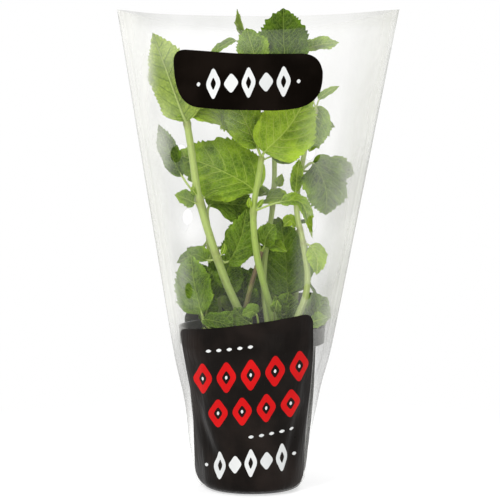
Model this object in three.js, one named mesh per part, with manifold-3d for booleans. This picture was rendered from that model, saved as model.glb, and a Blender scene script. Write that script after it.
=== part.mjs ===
// A pot of young mint standing in a tapered sleeve of clear film.
// Millimetres, +Z up. The origin is the middle of the sleeve's flat base, +X is to the
// right and -Y is the front of the sleeve.
import * as THREE from "three";
import { mergeVertices } from "three/addons/utils/BufferGeometryUtils.js";
import Module from "manifold-3d";

const wasm = await Module();
wasm.setup();

// Gap kept between neighbouring pieces
const CLEARANCE = 0.3;
const MERGE_DISTANCE = 1e-4;

// Sleeve: a film bag with a side seam at each end of its width
const FILM = 0.6;
const SLEEVE_TOP = 349;
const FRONT_EDGE_DIP = 19;
const BASE_CORNER = 8;
const LEFT_SEAM = { base: 41.6, top: 97.8 };
const RIGHT_SEAM = { base: 38, top: 106.6 };
const POT_BAND = { bottom: 106, top: 120, radius: 54.8 };
const BAG_BASE_RADIUS = 37.7;
const BAG_TOP = { halfWidth: 90, halfDepth: 78 };
const POINTS_ON_TANGENT = 1;
const POINTS_ON_ARC = 7;
const EDGE_PASSES = 3;
const WALL_FRACTIONS = [0.22, 0.45, 0.7, 1];
const VENT = { halfWidth: 4, halfHeight: 5.8, curveSegments: 4 };
const VENT_ROWS = [
  { height: 245, left: -53.5, right: 43.5 },
  { height: 196.5, left: -48.5, right: 41.5 },
  { height: 148, left: -45, right: 38.8 },
];

// Pot: thin moulded plastic with a deep rim
const POT_WALL = 1.2;
const POT_STAND = FILM + CLEARANCE;
const POT_HEIGHT = 118.6;
const RIM_RADIUS = 53.7;
const RIM_HEIGHT = 13;
const RIM_TAPER = 0.8;
const NECK_RADIUS = 46.4;
const HEEL_RADIUS = 7.1;
const HEEL_CENTRE = 29.4;
const POT_SIDES = 32;
const DRAIN = { radius: 4, ring: 21, count: 6, sides: 8 };

// Potting mix
const MIX_TOP = 104;
const MIX_RELIEF = { height: 1.3, acrossX: 0.31, acrossY: 0.27 };
const MIX_SIDES = 24;
const MIX_RINGS = [0.4, 0.75];

// Stems and leaves
const STEM_SIDES = 8;
const STEM_SQUARENESS = 0.07;
const STEPS_PER_SPAN = 2;
const ROOT_DEPTH = 15;
const HOLE_TOP = 109;
const PETIOLE_RADIUS = 0.95;
const PETIOLE_FLATNESS = 0.8;
const PETIOLE_STEPS = 2;
const BLADE_HALF_THICKNESS = 0.36;
const BLADE_START = 1 / 3;
const NECK_SHARE = 0.25;
const BLADE_TIP_HALF_WIDTH = 0.3;
const BLADE_WIDEST = 0.72;
const BLADE_FULLNESS = 0.62;
const FOLD = 0.2;
const EDGE_SWEEP = 0.14;
const TOOTH_DEPTH = 0.06;
const TOOTH_PITCH = 5;
const TOOTH_FADE = 3;
const FEWEST_TEETH = 3;
const MOST_TEETH = 9;
const WAVE_HEIGHT = 0.05;
const WAVES = 1.6;
const GOLDEN_ANGLE = 2.4;
const EDGE_PHASE = 1.7;
const HALVINGS = 24;

// One leaf: the height of its node on the stem, the neck, middle and tip of its blade, its
// width, and the way that its upper face looks
const leaf = (node, neck, middle, tip, width, face) => ({ node, neck, middle, tip, width, face });

const STEMS = [
  {
    name: "stem_front_left",
    radius: { base: 3.1, top: 2.2 },
    path: [[-2, -12, 105], [-7, -14, 125], [-19, -17, 153], [-29, -21, 182], [-38, -25, 213],
      [-44, -29, 253], [-47, -31, 272]],
    leaves: [
      leaf(266, [-47, -33, 268], [-58.5, -34.5, 299], [-71, -18, 331], 35, [0.45, 1, -0.1]),
      leaf(267, [-45.5, -31, 272], [-23, -21, 278], [-2, -14, 255], 32, [0.1, -0.9, 0.4]),
      leaf(267, [-48, -33, 269], [-51, -34, 270], [-55, -35, 270], 6, [0, -0.8, 0.6]),
      leaf(212, [-50, -24, 229], [-59, -20, 247], [-67, -16, 266], 16, [-0.5, -0.9, 0.2]),
      leaf(209, [-41, -28, 210], [-47, -30, 213], [-55, -33, 216], 14, [0, -0.8, 0.6]),
      leaf(211, [-34, -24, 214], [-29, -25, 217], [-24, -25, 219], 7, [0, -0.5, 0.85]),
      leaf(174, [-31, -14, 207], [-14, -5, 208], [2, -3, 205], 28, [0, -0.95, 0.35]),
      leaf(169, [-18, -16, 167], [-9, -14, 182], [-4, -13, 205], 23, [0.2, -0.95, 0.1]),
      leaf(169, [-32, -14, 168], [-42, -3, 171], [-55, 2, 165], 16, [0, -0.7, 0.7]),
    ],
  },
  {
    name: "stem_front_middle",
    radius: { base: 2.8, top: 1.8 },
    path: [[19, -17, 106], [15, -18, 127], [9, -21, 149], [3, -24, 175], [1, -27, 205],
      [5, -29, 230], [7, -30, 244]],
    leaves: [
      leaf(242, [8.5, -32, 246], [25, -38, 263], [40, -39, 287], 41, [0.05, -1, 0.05]),
      leaf(242, [4, -31, 249], [-6, -31, 271], [-15, -27, 293], 27, [-0.3, -1, 0.1]),
      leaf(203, [2, -19, 217], [-21, -8, 232], [-56, -6, 245], 47, [-0.05, -1, 0.25]),
      leaf(204, [20, -36, 211], [34, -40, 211], [42.5, -40, 186], 14, [0.6, -0.6, 0.5]),
      leaf(122, [16, -28, 132], [17, -31, 136], [18, -32, 141], 8, [0, -1, 0.1]),
    ],
  },
  {
    name: "stem_tall",
    radius: { base: 2.3, top: 1.5 },
    path: [[15, 4, 103], [11, 4, 124], [8.6, 5, 145], [9.5, 6, 168], [15, 10, 205],
      [16.5, 13, 237], [14, 16, 284], [11, 18, 313]],
    leaves: [
      leaf(311, [23, 16, 306], [23, 14, 329], [23, 18, 351], 36, [0, -1, 0.15]),
      leaf(311, [0, 22, 313], [-5, 28, 331], [-11, 29, 351], 24, [-0.95, 0.25, -0.15]),
      leaf(310, [5, 10, 309], [0, 8, 322], [-4, 10, 336], 24, [0.15, -1, 0.2]),
      leaf(308, [39, 27, 321], [51, 34, 325], [65, 40, 327], 16, [-0.2, -0.75, 0.65]),
      leaf(311, [-12, 12, 327], [-21, 8, 323], [-32, 4, 315], 9, [-0.1, -0.6, 0.8]),
      leaf(276, [7, 22, 284], [-6, 32, 293], [-22, 40, 290], 26, [0, -0.3, 0.95]),
      leaf(274, [24, 24, 281], [36, 34, 290], [51, 42, 287], 26, [0, -0.3, 0.95]),
      leaf(218, [18, 11, 221], [20, 10, 224], [22, 9, 230], 7, [0, -1, 0]),
      leaf(206, [10, 3, 211], [17, -3, 213], [27, -6, 211], 16, [0.05, -0.75, 0.65]),
      leaf(206, [18, 18, 210], [12, 30, 216], [5, 40, 212], 24, [0, 0.5, 0.85]),
    ],
  },
  {
    name: "stem_right",
    radius: { base: 2.7, top: 1.5 },
    path: [[26, -9, 105], [32.5, -8, 124], [39, -7, 142], [40.3, -6, 158], [36.8, -4, 182],
      [32.5, -2, 205], [38.5, 2, 247], [47, 7, 278]],
    leaves: [
      leaf(277, [49, 9, 284], [55, 12, 289], [64, 14, 294], 8, [-0.3, -0.7, 0.65]),
      leaf(277, [44, 4, 284], [41, -2, 289], [35, -6, 295], 12, [0.3, -0.6, 0.75]),
      leaf(275, [47, 10, 279], [45, 12, 262], [42, 11, 246], 24, [0.25, -1, 0.1]),
      leaf(232, [44, 0, 238], [53, -8, 221], [54, 4, 200], 32, [0.1, -1, 0.1]),
      leaf(232, [51, 9, 232], [63, 10, 233], [75, 7, 230], 20, [-0.1, -0.9, 0.45]),
      leaf(207, [31.5, -6, 217], [32.5, -8, 229], [34, -9, 241], 10, [0.2, -1, 0]),
      leaf(180, [42, -5, 178], [47, -7, 170], [47, -7, 157], 15, [0.1, -1, 0.15]),
      leaf(190, [32, -3, 192], [28, -5, 196], [23, -7, 192], 12, [0, -0.6, 0.8]),
      leaf(190, [35, 8, 193], [36, 16, 195], [34, 24, 194], 12, [0, -0.3, 0.95]),
    ],
  },
  {
    name: "stem_young",
    radius: { base: 2, top: 1.4 },
    path: [[-12, -4, 104], [-4, -5, 136], [1, -7, 155], [7, -9, 175]],
    leaves: [
      leaf(174, [9, -11, 178], [11, -14, 186], [17, -16, 194], 17, [-0.3, -0.9, 0.3]),
      leaf(174, [12, -10, 177], [17, -12, 178], [25, -13, 174], 13, [0, -0.6, 0.8]),
      leaf(173, [2, -7, 187], [-4, -6, 183], [-11, -5, 168], 30, [0.1, -0.9, 0.4]),
    ],
  },
  {
    name: "stem_back_left",
    radius: { base: 2.6, top: 1.8 },
    path: [[-20, 12, 104], [-25, 14, 130], [-30, 17, 160], [-33, 20, 192], [-40, 22, 218]],
    leaves: [
      leaf(216, [-40, 18, 226], [-42, 12, 234], [-50, 10, 236], 22, [-0.1, -0.4, 0.9]),
      leaf(216, [-33, 28, 224], [-22, 36, 232], [-8, 44, 232], 24, [0.1, -0.2, 0.95]),
      leaf(182, [-36, 22, 176], [-42, 26, 172], [-50, 26, 162], 20, [-0.5, 0.3, 0.8]),
      leaf(176, [-25, 26, 174], [-16, 36, 176], [-4, 44, 172], 24, [0, 0.5, 0.85]),
      leaf(138, [-22, 4, 142], [-19, 3, 157], [-12, 4, 172], 28, [-0.1, -0.95, 0.35]),
      leaf(134, [-30, 0, 138], [-33, -8, 150], [-36, -10, 165], 24, [-0.2, -0.9, 0.4]),
      leaf(120, [-27, 4, 120], [-33, -1, 126], [-40, -6, 132], 21, [-0.1, -0.8, 0.6]),
    ],
  },
  {
    name: "stem_back_right",
    radius: { base: 2.8, top: 1.8 },
    path: [[27, 20, 104], [31, 22, 130], [34, 25, 160], [34, 27, 188]],
    leaves: [
      leaf(186, [30, 30, 188], [22, 38, 190], [12, 46, 184], 22, [0, 0.5, 0.85]),
      leaf(134, [27, 15, 140], [25, 12, 166], [21, 12, 196], 40, [-0.1, -1, 0.15]),
      leaf(150, [37, 26, 151], [42, 25, 148], [48, 17, 137], 15, [0.3, 0.3, 0.9]),
      leaf(122, [26, 9, 120], [25, 9, 131], [27, 8, 143], 24, [0, -1, 0.2]),
    ],
  },
  {
    name: "shoot_left",
    radius: { base: 2, top: 1.5 },
    path: [[-30, -20, 104], [-32, -23, 114], [-33, -24, 122]],
    leaves: [
      leaf(121, [-36, -24, 130], [-41.5, -15.5, 151], [-44, -15, 172], 31, [-0.45, -0.9, 0.1]),
      leaf(120, [-41, -15, 134], [-48, -9, 136], [-56, -4, 137], 9, [0, -0.5, 0.85]),
      leaf(119, [-35, -36, 127], [-25, -38, 126], [-12, -39, 121], 13, [-0.1, -0.7, 0.7]),
    ],
  },
  {
    name: "shoot_front",
    radius: { base: 1.8, top: 1.3 },
    path: [[4, -32, 104], [4, -33, 113], [5, -34, 122]],
    leaves: [
      leaf(121, [3, -36, 131], [0, -37, 133], [-7, -38, 131], 12, [0, -0.9, 0.4]),
    ],
  },
  {
    name: "shoot_right",
    radius: { base: 2, top: 1.4 },
    path: [[37, 4, 104], [38, 4, 113], [38, 3, 120]],
    leaves: [
      leaf(118, [42, 2, 121], [48, 0, 131], [55, -2, 140], 26, [-0.3, -0.9, 0.3]),
      leaf(117, [42, -5, 121], [48, -9, 124], [55, -8, 126], 13, [0, -0.8, 0.6]),
    ],
  },
  {
    name: "shoot_back",
    radius: { base: 2.2, top: 1.6 },
    path: [[-3, 24, 104], [-2, 24, 114], [-1, 23, 124]],
    leaves: [
      leaf(122, [-4, 16, 131], [-6, 13, 144], [-7, 11, 161], 28, [-0.1, -0.9, 0.4]),
      leaf(121, [-5, 15, 121], [-11, 7, 122], [-18, -1, 119], 16, [-0.1, -0.6, 0.8]),
      leaf(122, [2, 20, 133], [2, 21, 146], [-1, 20, 160], 24, [0.1, -0.95, 0.3]),
      leaf(122, [-7, 30, 126], [-14, 38, 134], [-20, 44, 146], 24, [-0.3, 0.7, 0.6]),
      leaf(122, [4, 30, 126], [9, 38, 132], [14, 46, 142], 24, [0.3, 0.7, 0.6]),
    ],
  },
];

const vector = (values) => new THREE.Vector3(...values);

// Straight-line value of a table of [input, output] pairs
function valueAt(table, input) {
  const next = Math.max(1, table.findIndex(([knot]) => knot >= input));
  const [lowInput, lowOutput] = table[next - 1];
  const [highInput, highOutput] = table[next];
  return THREE.MathUtils.mapLinear(input, lowInput, highInput, lowOutput, highOutput);
}

// Geometry of a closed triangle mesh given as points and corner numbers
function meshGeometry(points, corners) {
  const geometry = new THREE.BufferGeometry();
  const positions = points.flatMap((point) => [point.x, point.y, point.z]);
  geometry.setAttribute("position", new THREE.Float32BufferAttribute(positions, 3));
  geometry.setIndex(corners);
  return geometry;
}

// Closed solid through a row of rings with equal numbers of points. The rings turn
// clockwise as seen along the row, and a fan closes each end. Where crossed(side) is true
// the quads of that side are split along their other diagonal.
function loft(rings, crossed = () => false) {
  const sides = rings[0].length;
  const points = rings.flat();
  const corners = [];
  rings.slice(1).forEach((_, row) => {
    for (let side = 0; side < sides; side += 1) {
      const a = row * sides + side;
      const b = row * sides + ((side + 1) % sides);
      const [c, d] = [b + sides, a + sides];
      corners.push(...(crossed(side) ? [a, b, d, b, c, d] : [a, b, c, a, c, d]));
    }
  });
  [rings[0], rings.at(-1)].forEach((ring, end) => {
    const centre = ring.reduce((sum, point) => sum.add(point), new THREE.Vector3());
    points.push(centre.divideScalar(sides));
    const first = end * (rings.length - 1) * sides;
    for (let side = 0; side < sides; side += 1) {
      const a = first + side;
      const b = first + ((side + 1) % sides);
      corners.push(points.length - 1, ...(end ? [a, b] : [b, a]));
    }
  });
  return meshGeometry(points, corners);
}

// The same geometry as a solid that can be joined and cut
function solid(geometry) {
  const bare = geometry.clone();
  bare.deleteAttribute("normal");
  bare.deleteAttribute("uv");
  const merged = mergeVertices(bare, MERGE_DISTANCE);
  const corners = [...merged.index.array];
  const kept = [];
  for (let start = 0; start < corners.length; start += 3) {
    const [a, b, c] = corners.slice(start, start + 3);
    if (a !== b && b !== c && c !== a) kept.push(a, b, c);
  }
  return new wasm.Manifold(new wasm.Mesh({
    numProp: 3,
    vertProperties: new Float32Array(merged.attributes.position.array),
    triVerts: new Uint32Array(kept),
  }));
}

// A joined or cut solid as geometry again
function geometryOf(manifold) {
  const { vertProperties, triVerts, numProp } = manifold.getMesh();
  const points = [];
  for (let start = 0; start < vertProperties.length; start += numProp) {
    points.push(new THREE.Vector3(...vertProperties.slice(start, start + 3)));
  }
  return meshGeometry(points, [...triVerts]);
}

// Half width of the bag at a seam, and the half axes of its round body, at a height
const seamAt = (seam, height) => THREE.MathUtils.lerp(seam.base, seam.top, height / SLEEVE_TOP);
const bodyAt = (baseRadius, topRadius, height) => valueAt([
  [0, baseRadius],
  [POT_BAND.bottom, POT_BAND.radius],
  [POT_BAND.top, POT_BAND.radius],
  [SLEEVE_TOP, topRadius],
], height);

// Height of the bag's cut edge: level at the back, dipping in the middle of the front
function edgeHeight(point) {
  if (point.y >= 0) return SLEEVE_TOP;
  const seam = seamAt(point.x < 0 ? LEFT_SEAM : RIGHT_SEAM, SLEEVE_TOP);
  return SLEEVE_TOP - FRONT_EDGE_DIP * (1 - (point.x / seam) ** 2);
}

// Ring of points round the bag, counter-clockwise from the right seam. Each quarter runs
// straight from the seam to the round body and then along the body.
function bagRing(heightAt, inset) {
  const ring = [];
  for (let quarter = 0; quarter < 4; quarter += 1) {
    const right = quarter === 0 || quarter === 3;
    const back = quarter < 2;
    const outward = quarter % 2 === 0;
    const steps = POINTS_ON_TANGENT + POINTS_ON_ARC;
    for (let step = 0; step < steps; step += 1) {
      const place = outward ? step : steps - step;
      ring.push(bagPoint(heightAt, inset, place, right ? 1 : -1, back ? 1 : -1));
    }
  }
  return ring;
}

// One point of that ring: place 0 is the seam and the last place is the middle of the wall.
// The height may depend on where the point lies, so it is worked out in a few passes.
function bagPoint(heightAt, inset, place, sideX, sideY) {
  const point = new THREE.Vector3();
  for (let pass = 0; pass < EDGE_PASSES; pass += 1) {
    const height = heightAt(point);
    const seam = seamAt(sideX > 0 ? RIGHT_SEAM : LEFT_SEAM, height) - inset;
    const halfWidth = bodyAt(BAG_BASE_RADIUS, BAG_TOP.halfWidth, height) - inset;
    const halfDepth = bodyAt(BAG_BASE_RADIUS, BAG_TOP.halfDepth, height) - inset;
    const touch = Math.acos(Math.min(1, halfWidth / seam));
    const along = Math.max(0, (place - POINTS_ON_TANGENT) / POINTS_ON_ARC);
    const angle = THREE.MathUtils.lerp(touch, Math.PI / 2, along);
    point.set(sideX * halfWidth * Math.cos(angle), sideY * halfDepth * Math.sin(angle), height);
    if (place < POINTS_ON_TANGENT) {
      const seamPoint = new THREE.Vector3(sideX * seam, 0, height);
      point.lerp(seamPoint, 1 - place / POINTS_ON_TANGENT);
    }
  }
  return point;
}

// One skin of the bag from its flat base to its cut edge
function bagSkin(inset) {
  const corner = BASE_CORNER - inset;
  const rings = [0, 30, 60, 90].map((degrees) => {
    const turn = THREE.MathUtils.degToRad(degrees);
    const height = BASE_CORNER - corner * Math.cos(turn);
    return bagRing(() => height, BASE_CORNER - corner * Math.sin(turn));
  });
  rings.push(...[POT_BAND.bottom, POT_BAND.top].map((height) => bagRing(() => height, inset)));
  rings.push(...WALL_FRACTIONS.map((fraction) => {
    const heightAt = (point) => THREE.MathUtils.lerp(POT_BAND.top, edgeHeight(point), fraction);
    return bagRing(heightAt, inset);
  }));
  return rings;
}

// Oval prism that punches one vent through the front and the back of the bag
function ventCutter(x, height) {
  const outline = new THREE.Shape().absellipse(0, 0, VENT.halfWidth, VENT.halfHeight, 0,
    2 * Math.PI);
  const reach = 2 * BAG_TOP.halfDepth;
  const prism = new THREE.ExtrudeGeometry(outline, {
    depth: 2 * reach, bevelEnabled: false, curveSegments: VENT.curveSegments, steps: 1,
  });
  prism.rotateX(Math.PI / 2).translate(x, reach, height);
  return solid(prism);
}

function sleeveGeometry() {
  let bag = solid(loft([...bagSkin(0), ...bagSkin(FILM).reverse()]));
  for (const { height, left, right } of VENT_ROWS) {
    bag = bag.subtract(ventCutter(left, height)).subtract(ventCutter(right, height));
  }
  return geometryOf(bag);
}

// The pot's wall as a closed profile of [radius, height], outer face first
function potProfile() {
  const heel = (radius) => [0, 45, 90].map((degrees) => {
    const turn = THREE.MathUtils.degToRad(degrees);
    return [HEEL_CENTRE + radius * Math.sin(turn), HEEL_RADIUS - radius * Math.cos(turn)];
  });
  const rimBottom = POT_HEIGHT - RIM_HEIGHT;
  return [
    [0, 0],
    ...heel(HEEL_RADIUS),
    [NECK_RADIUS, rimBottom],
    [RIM_RADIUS - RIM_TAPER, rimBottom],
    [RIM_RADIUS, POT_HEIGHT],
    [RIM_RADIUS - POT_WALL, POT_HEIGHT],
    [RIM_RADIUS - RIM_TAPER - POT_WALL, rimBottom + POT_WALL],
    [NECK_RADIUS - POT_WALL, rimBottom + POT_WALL],
    ...heel(HEEL_RADIUS - POT_WALL).reverse(),
    [0, POT_WALL],
  ];
}

function potGeometry() {
  const profile = potProfile().map(([radius, height]) => new THREE.Vector2(radius, height));
  let pot = solid(new THREE.LatheGeometry(profile, POT_SIDES).rotateX(Math.PI / 2));
  for (let number = 0; number < DRAIN.count; number += 1) {
    const turn = (2 * Math.PI * number) / DRAIN.count;
    const hole = new THREE.CylinderGeometry(DRAIN.radius, DRAIN.radius, 4 * POT_WALL, DRAIN.sides);
    hole.rotateX(Math.PI / 2);
    hole.translate(DRAIN.ring * Math.cos(turn), DRAIN.ring * Math.sin(turn), 0);
    pot = pot.subtract(solid(hole));
  }
  return geometryOf(pot);
}

// Smooth path of a stem, from its foot in the mix to its top node. The foot carries on the
// direction of the first stretch above the mix.
function stemPath(stem, footDrop = 0) {
  const [first, second] = stem.path.map(vector);
  const share = -(ROOT_DEPTH + footDrop) / (second.z - first.z);
  const foot = first.clone().lerp(second, share);
  return new THREE.CatmullRomCurve3([foot, ...stem.path.map(vector)], false, "centripetal");
}

// The path's share of its length in points, from 0 to 1, at which it reaches a height
function shareAt(path, height) {
  let [low, high] = [0, 1];
  for (let halving = 0; halving < HALVINGS; halving += 1) {
    const middle = (low + high) / 2;
    if (path.getPoint(middle).z < height) low = middle;
    else high = middle;
  }
  return (low + high) / 2;
}

// Four-cornered stem with rounded corners, thinner towards its top
function stemSolid(stem, { extraRadius = 0, footDrop = 0, top = Infinity } = {}) {
  const path = stemPath(stem, footDrop);
  const lastShare = top === Infinity ? 1 : shareAt(path, top);
  const steps = Math.max(1, Math.round(stem.path.length * STEPS_PER_SPAN * lastShare));
  const rings = [];
  for (let step = 0; step <= steps; step += 1) {
    const share = (lastShare * step) / steps;
    const centre = path.getPoint(share);
    const forward = path.getTangent(share);
    const side = new THREE.Vector3(0, 1, 0).cross(forward).normalize();
    const front = forward.clone().cross(side);
    const radius = THREE.MathUtils.lerp(stem.radius.base, stem.radius.top, share) + extraRadius;
    rings.push(Array.from({ length: STEM_SIDES }, (_, number) => {
      const turn = (2 * Math.PI * number) / STEM_SIDES;
      const reach = radius * (1 + STEM_SQUARENESS * Math.cos(4 * turn));
      return centre.clone()
        .addScaledVector(side, reach * Math.cos(turn))
        .addScaledVector(front, reach * Math.sin(turn));
    }));
  }
  return solid(loft(rings));
}

// Share of a blade's full half width at a share of its length: broad near the neck
const bladeOutline = (along) => Math.sin(Math.PI * along ** BLADE_WIDEST) ** BLADE_FULLNESS;

// One leaf with its stalk, cut into teeth along both edges. Six points make each ring: the
// left edge, rib and right edge of the upper face, and the same of the lower face.
function leafSolid(stem, { node, neck, middle, tip, width, face }, number) {
  const path = stemPath(stem);
  const root = path.getPoint(shareAt(path, node));
  const spine = new THREE.CatmullRomCurve3([root, ...[neck, middle, tip].map(vector)], false,
    "centripetal");
  const length = vector(neck).distanceTo(vector(middle)) + vector(middle).distanceTo(vector(tip));
  const teeth = THREE.MathUtils.clamp(Math.round(length / TOOTH_PITCH), FEWEST_TEETH, MOST_TEETH);
  const bladeSteps = 2 * teeth;
  const rings = [];
  const addRing = (share, halfWidth, halfThickness, lifts) => {
    const centre = spine.getPoint(share);
    const forward = spine.getTangent(share);
    const up = vector(face).addScaledVector(forward, -vector(face).dot(forward)).normalize();
    const right = forward.clone().cross(up);
    const place = (sideways, height) => centre.clone()
      .addScaledVector(right, sideways)
      .addScaledVector(up, height)
      .addScaledVector(forward, EDGE_SWEEP * Math.abs(sideways));
    rings.push([
      place(-halfWidth, lifts[0] + halfThickness),
      place(0, halfThickness),
      place(halfWidth, lifts[1] + halfThickness),
      place(halfWidth, lifts[1] - halfThickness),
      place(0, -halfThickness),
      place(-halfWidth, lifts[0] - halfThickness),
    ]);
  };
  for (let step = 0; step < PETIOLE_STEPS; step += 1) {
    const share = (BLADE_START * step) / PETIOLE_STEPS;
    addRing(share, PETIOLE_RADIUS, PETIOLE_RADIUS * PETIOLE_FLATNESS, [0, 0]);
  }
  for (let step = 0; step <= bladeSteps; step += 1) {
    const along = step / bladeSteps;
    const outline = bladeOutline(along);
    const tooth = (step % 2 ? 0.5 : -0.5) * TOOTH_DEPTH * width * Math.min(1, TOOTH_FADE * outline);
    const halfWidth = Math.max(PETIOLE_RADIUS * (1 - along), BLADE_TIP_HALF_WIDTH,
      (width / 2) * outline + tooth);
    const lifts = [0, 1].map((edge) => {
      const phase = GOLDEN_ANGLE * (number + EDGE_PHASE * edge);
      const wave = WAVE_HEIGHT * width * outline * Math.sin(2 * Math.PI * WAVES * along + phase);
      return FOLD * halfWidth + wave;
    });
    const thickness = THREE.MathUtils.lerp(PETIOLE_RADIUS * PETIOLE_FLATNESS,
      BLADE_HALF_THICKNESS, Math.min(1, along / NECK_SHARE));
    addRing(THREE.MathUtils.lerp(BLADE_START, 1, along), halfWidth, thickness, lifts);
  }
  return solid(loft(rings, (side) => side === 1 || side === 4));
}

// A stem with all its leaves as one body
function leafyStemGeometry(stem) {
  const leaves = stem.leaves.map((entry, number) => leafSolid(stem, entry, number));
  return geometryOf(leaves.reduce((plant, blade) => plant.add(blade), stemSolid(stem)));
}

// Height of the mix's uneven top
function mixHeight(x, y) {
  const { height, acrossX, acrossY } = MIX_RELIEF;
  return MIX_TOP + height * Math.sin(acrossX * x + 1) * Math.cos(acrossY * y);
}

// The mix fills the pot up to its neck, with a plain hole for every stem
function mixGeometry() {
  const bottom = POT_STAND + POT_WALL + CLEARANCE;
  const inside = POT_WALL + CLEARANCE;
  const ringAt = (radius, heightAt) => Array.from({ length: MIX_SIDES }, (_, number) => {
    const turn = (2 * Math.PI * number) / MIX_SIDES;
    const [x, y] = [radius * Math.cos(turn), radius * Math.sin(turn)];
    return new THREE.Vector3(x, y, heightAt(x, y));
  });
  const footRadius = HEEL_CENTRE - CLEARANCE;
  const heelTop = POT_STAND + HEEL_RADIUS;
  const heelRadius = HEEL_CENTRE + HEEL_RADIUS - inside;
  const topRadius = NECK_RADIUS - inside - 2 * CLEARANCE;
  const rings = [
    ringAt(footRadius, () => bottom),
    ringAt(heelRadius, () => heelTop),
    ringAt(topRadius, mixHeight),
    ...MIX_RINGS.toReversed().map((share) => ringAt(share * topRadius, mixHeight)),
  ];
  let mix = solid(loft(rings));
  for (const stem of STEMS) {
    mix = mix.subtract(stemSolid(stem, {
      extraRadius: CLEARANCE, footDrop: CLEARANCE, top: HOLE_TOP,
    }));
  }
  return geometryOf(mix);
}

// A named mesh with flat faces in its own material
function piece(name, geometry, look) {
  const mesh = new THREE.Mesh(geometry, new THREE.MeshStandardMaterial(look));
  mesh.name = name;
  return mesh;
}

const group = new THREE.Group();

const sleeve = piece("sleeve", sleeveGeometry(), {
  color: "#eef1ea", roughness: 0.25, metalness: 0, transparent: true, opacity: 0.3,
});
group.add(sleeve);

const pot = piece("pot", potGeometry(), { color: "#1b1918", roughness: 0.55, metalness: 0 });
pot.position.z = POT_STAND;
group.add(pot);

const mix = piece("potting_mix", mixGeometry(), { color: "#33251b", roughness: 1, metalness: 0 });
group.add(mix);

const plant = new THREE.Group();
for (const stem of STEMS) {
  plant.add(piece(stem.name, leafyStemGeometry(stem), {
    color: "#6fa336", roughness: 0.6, metalness: 0,
  }));
}
group.add(plant);

export default group;
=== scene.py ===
"""A pot of young mint standing in a tapered sleeve of clear printed film.

Sizes in the plans are millimetres, and Blender's objects are in metres. +Z is up, +X is to the
right and -Y is the front of the sleeve.
"""

from __future__ import annotations

import logging
import math
from collections.abc import Callable, Sequence
from dataclasses import dataclass, field
from enum import Enum

import bmesh
import bpy
import numpy as np
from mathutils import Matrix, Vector
from mathutils.geometry import delaunay_2d_cdt

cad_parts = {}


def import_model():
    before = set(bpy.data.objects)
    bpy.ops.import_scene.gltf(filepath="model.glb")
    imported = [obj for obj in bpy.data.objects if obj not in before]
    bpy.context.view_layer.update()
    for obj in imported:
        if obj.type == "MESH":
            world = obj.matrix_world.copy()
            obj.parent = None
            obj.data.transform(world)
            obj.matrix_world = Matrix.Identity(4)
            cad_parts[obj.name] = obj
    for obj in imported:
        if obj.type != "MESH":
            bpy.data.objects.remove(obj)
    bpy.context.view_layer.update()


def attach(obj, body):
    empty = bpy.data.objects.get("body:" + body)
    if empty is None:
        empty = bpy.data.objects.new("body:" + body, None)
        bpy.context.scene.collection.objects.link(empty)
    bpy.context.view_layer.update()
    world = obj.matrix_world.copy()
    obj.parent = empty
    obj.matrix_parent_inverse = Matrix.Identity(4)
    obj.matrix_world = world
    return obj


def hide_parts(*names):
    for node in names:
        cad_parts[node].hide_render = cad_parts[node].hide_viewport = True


LOG = logging.getLogger("mint")
MM = 0.001
BODY = "root"

Triple = tuple[float, float, float]
Point = Triple
Colour = Triple
Flat = tuple[float, float]
Field = bpy.types.NodeSocket | float
Mark = tuple[np.ndarray, np.ndarray | None]
Spot = tuple[Flat, Flat, float]


class Wall(Enum):
    """A wall of the sleeve, with the sign of its side along Y."""

    FRONT = -1
    BACK = 1


HeightOf = Callable[[np.ndarray, Wall], np.ndarray]


class Habit(Enum):
    """How a stem has grown: fresh and green, or thin and flushed with purple."""

    GREEN = 0.0
    FLUSHED = 1.0


def unit(vectors: np.ndarray) -> np.ndarray:
    """Vectors scaled to a length of one, along the last axis."""
    return vectors / np.linalg.norm(vectors, axis=-1, keepdims=True)


def ease(low: float, high: float, values: np.ndarray | float) -> np.ndarray:
    """Smooth step from 0 at low to 1 at high."""
    share = np.clip((np.asarray(values, float) - low) / (high - low), 0, 1)
    return share * share * (3 - 2 * share)


def spots_at(across: np.ndarray, height: np.ndarray, spots: Sequence[Spot]) -> np.ndarray:
    """Strength of the strongest of some soft spots at places on a wall.

    Args:
        across: Places along X.
        height: Their heights.
        spots: Centre, half widths and strength of each spot.

    Returns:
        One value for each place, from 0 to the strongest spot's strength.
    """
    strongest = np.zeros(np.shape(across))
    for centre, spread, strength in spots:
        distance = ((across - centre[0]) / spread[0]) ** 2 + ((height - centre[1]) / spread[1]) ** 2
        strongest = np.maximum(strongest, strength * np.exp(-distance))
    return strongest


def climb(values: np.ndarray, rises: Sequence[Triple]) -> np.ndarray:
    """Sum of smooth rises, each given by where it starts, where it ends and its size."""
    return sum(size * ease(low, high, values) for low, high, size in rises)


def turns_of(count: int) -> np.ndarray:
    """Angles of equal steps once round a circle."""
    return np.linspace(0, 2 * math.pi, count, endpoint=False)


def store(mesh: bpy.types.Mesh, name: str, rows: np.ndarray) -> None:
    """Stores three numbers for each point of a mesh under a name."""
    attribute = mesh.attributes.new(name, "FLOAT_VECTOR", "POINT")
    attribute.data.foreach_set("vector", rows.astype(np.float32).ravel())


def linked(name: str, data: bpy.types.ID) -> bpy.types.Object:
    """A new object that shows some data, linked to the scene.

    Args:
        name: The object's name.
        data: Its mesh, lamp or camera.

    Returns:
        The object.
    """
    made = bpy.data.objects.new(name, data)
    bpy.context.scene.collection.objects.link(made)
    return made


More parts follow.
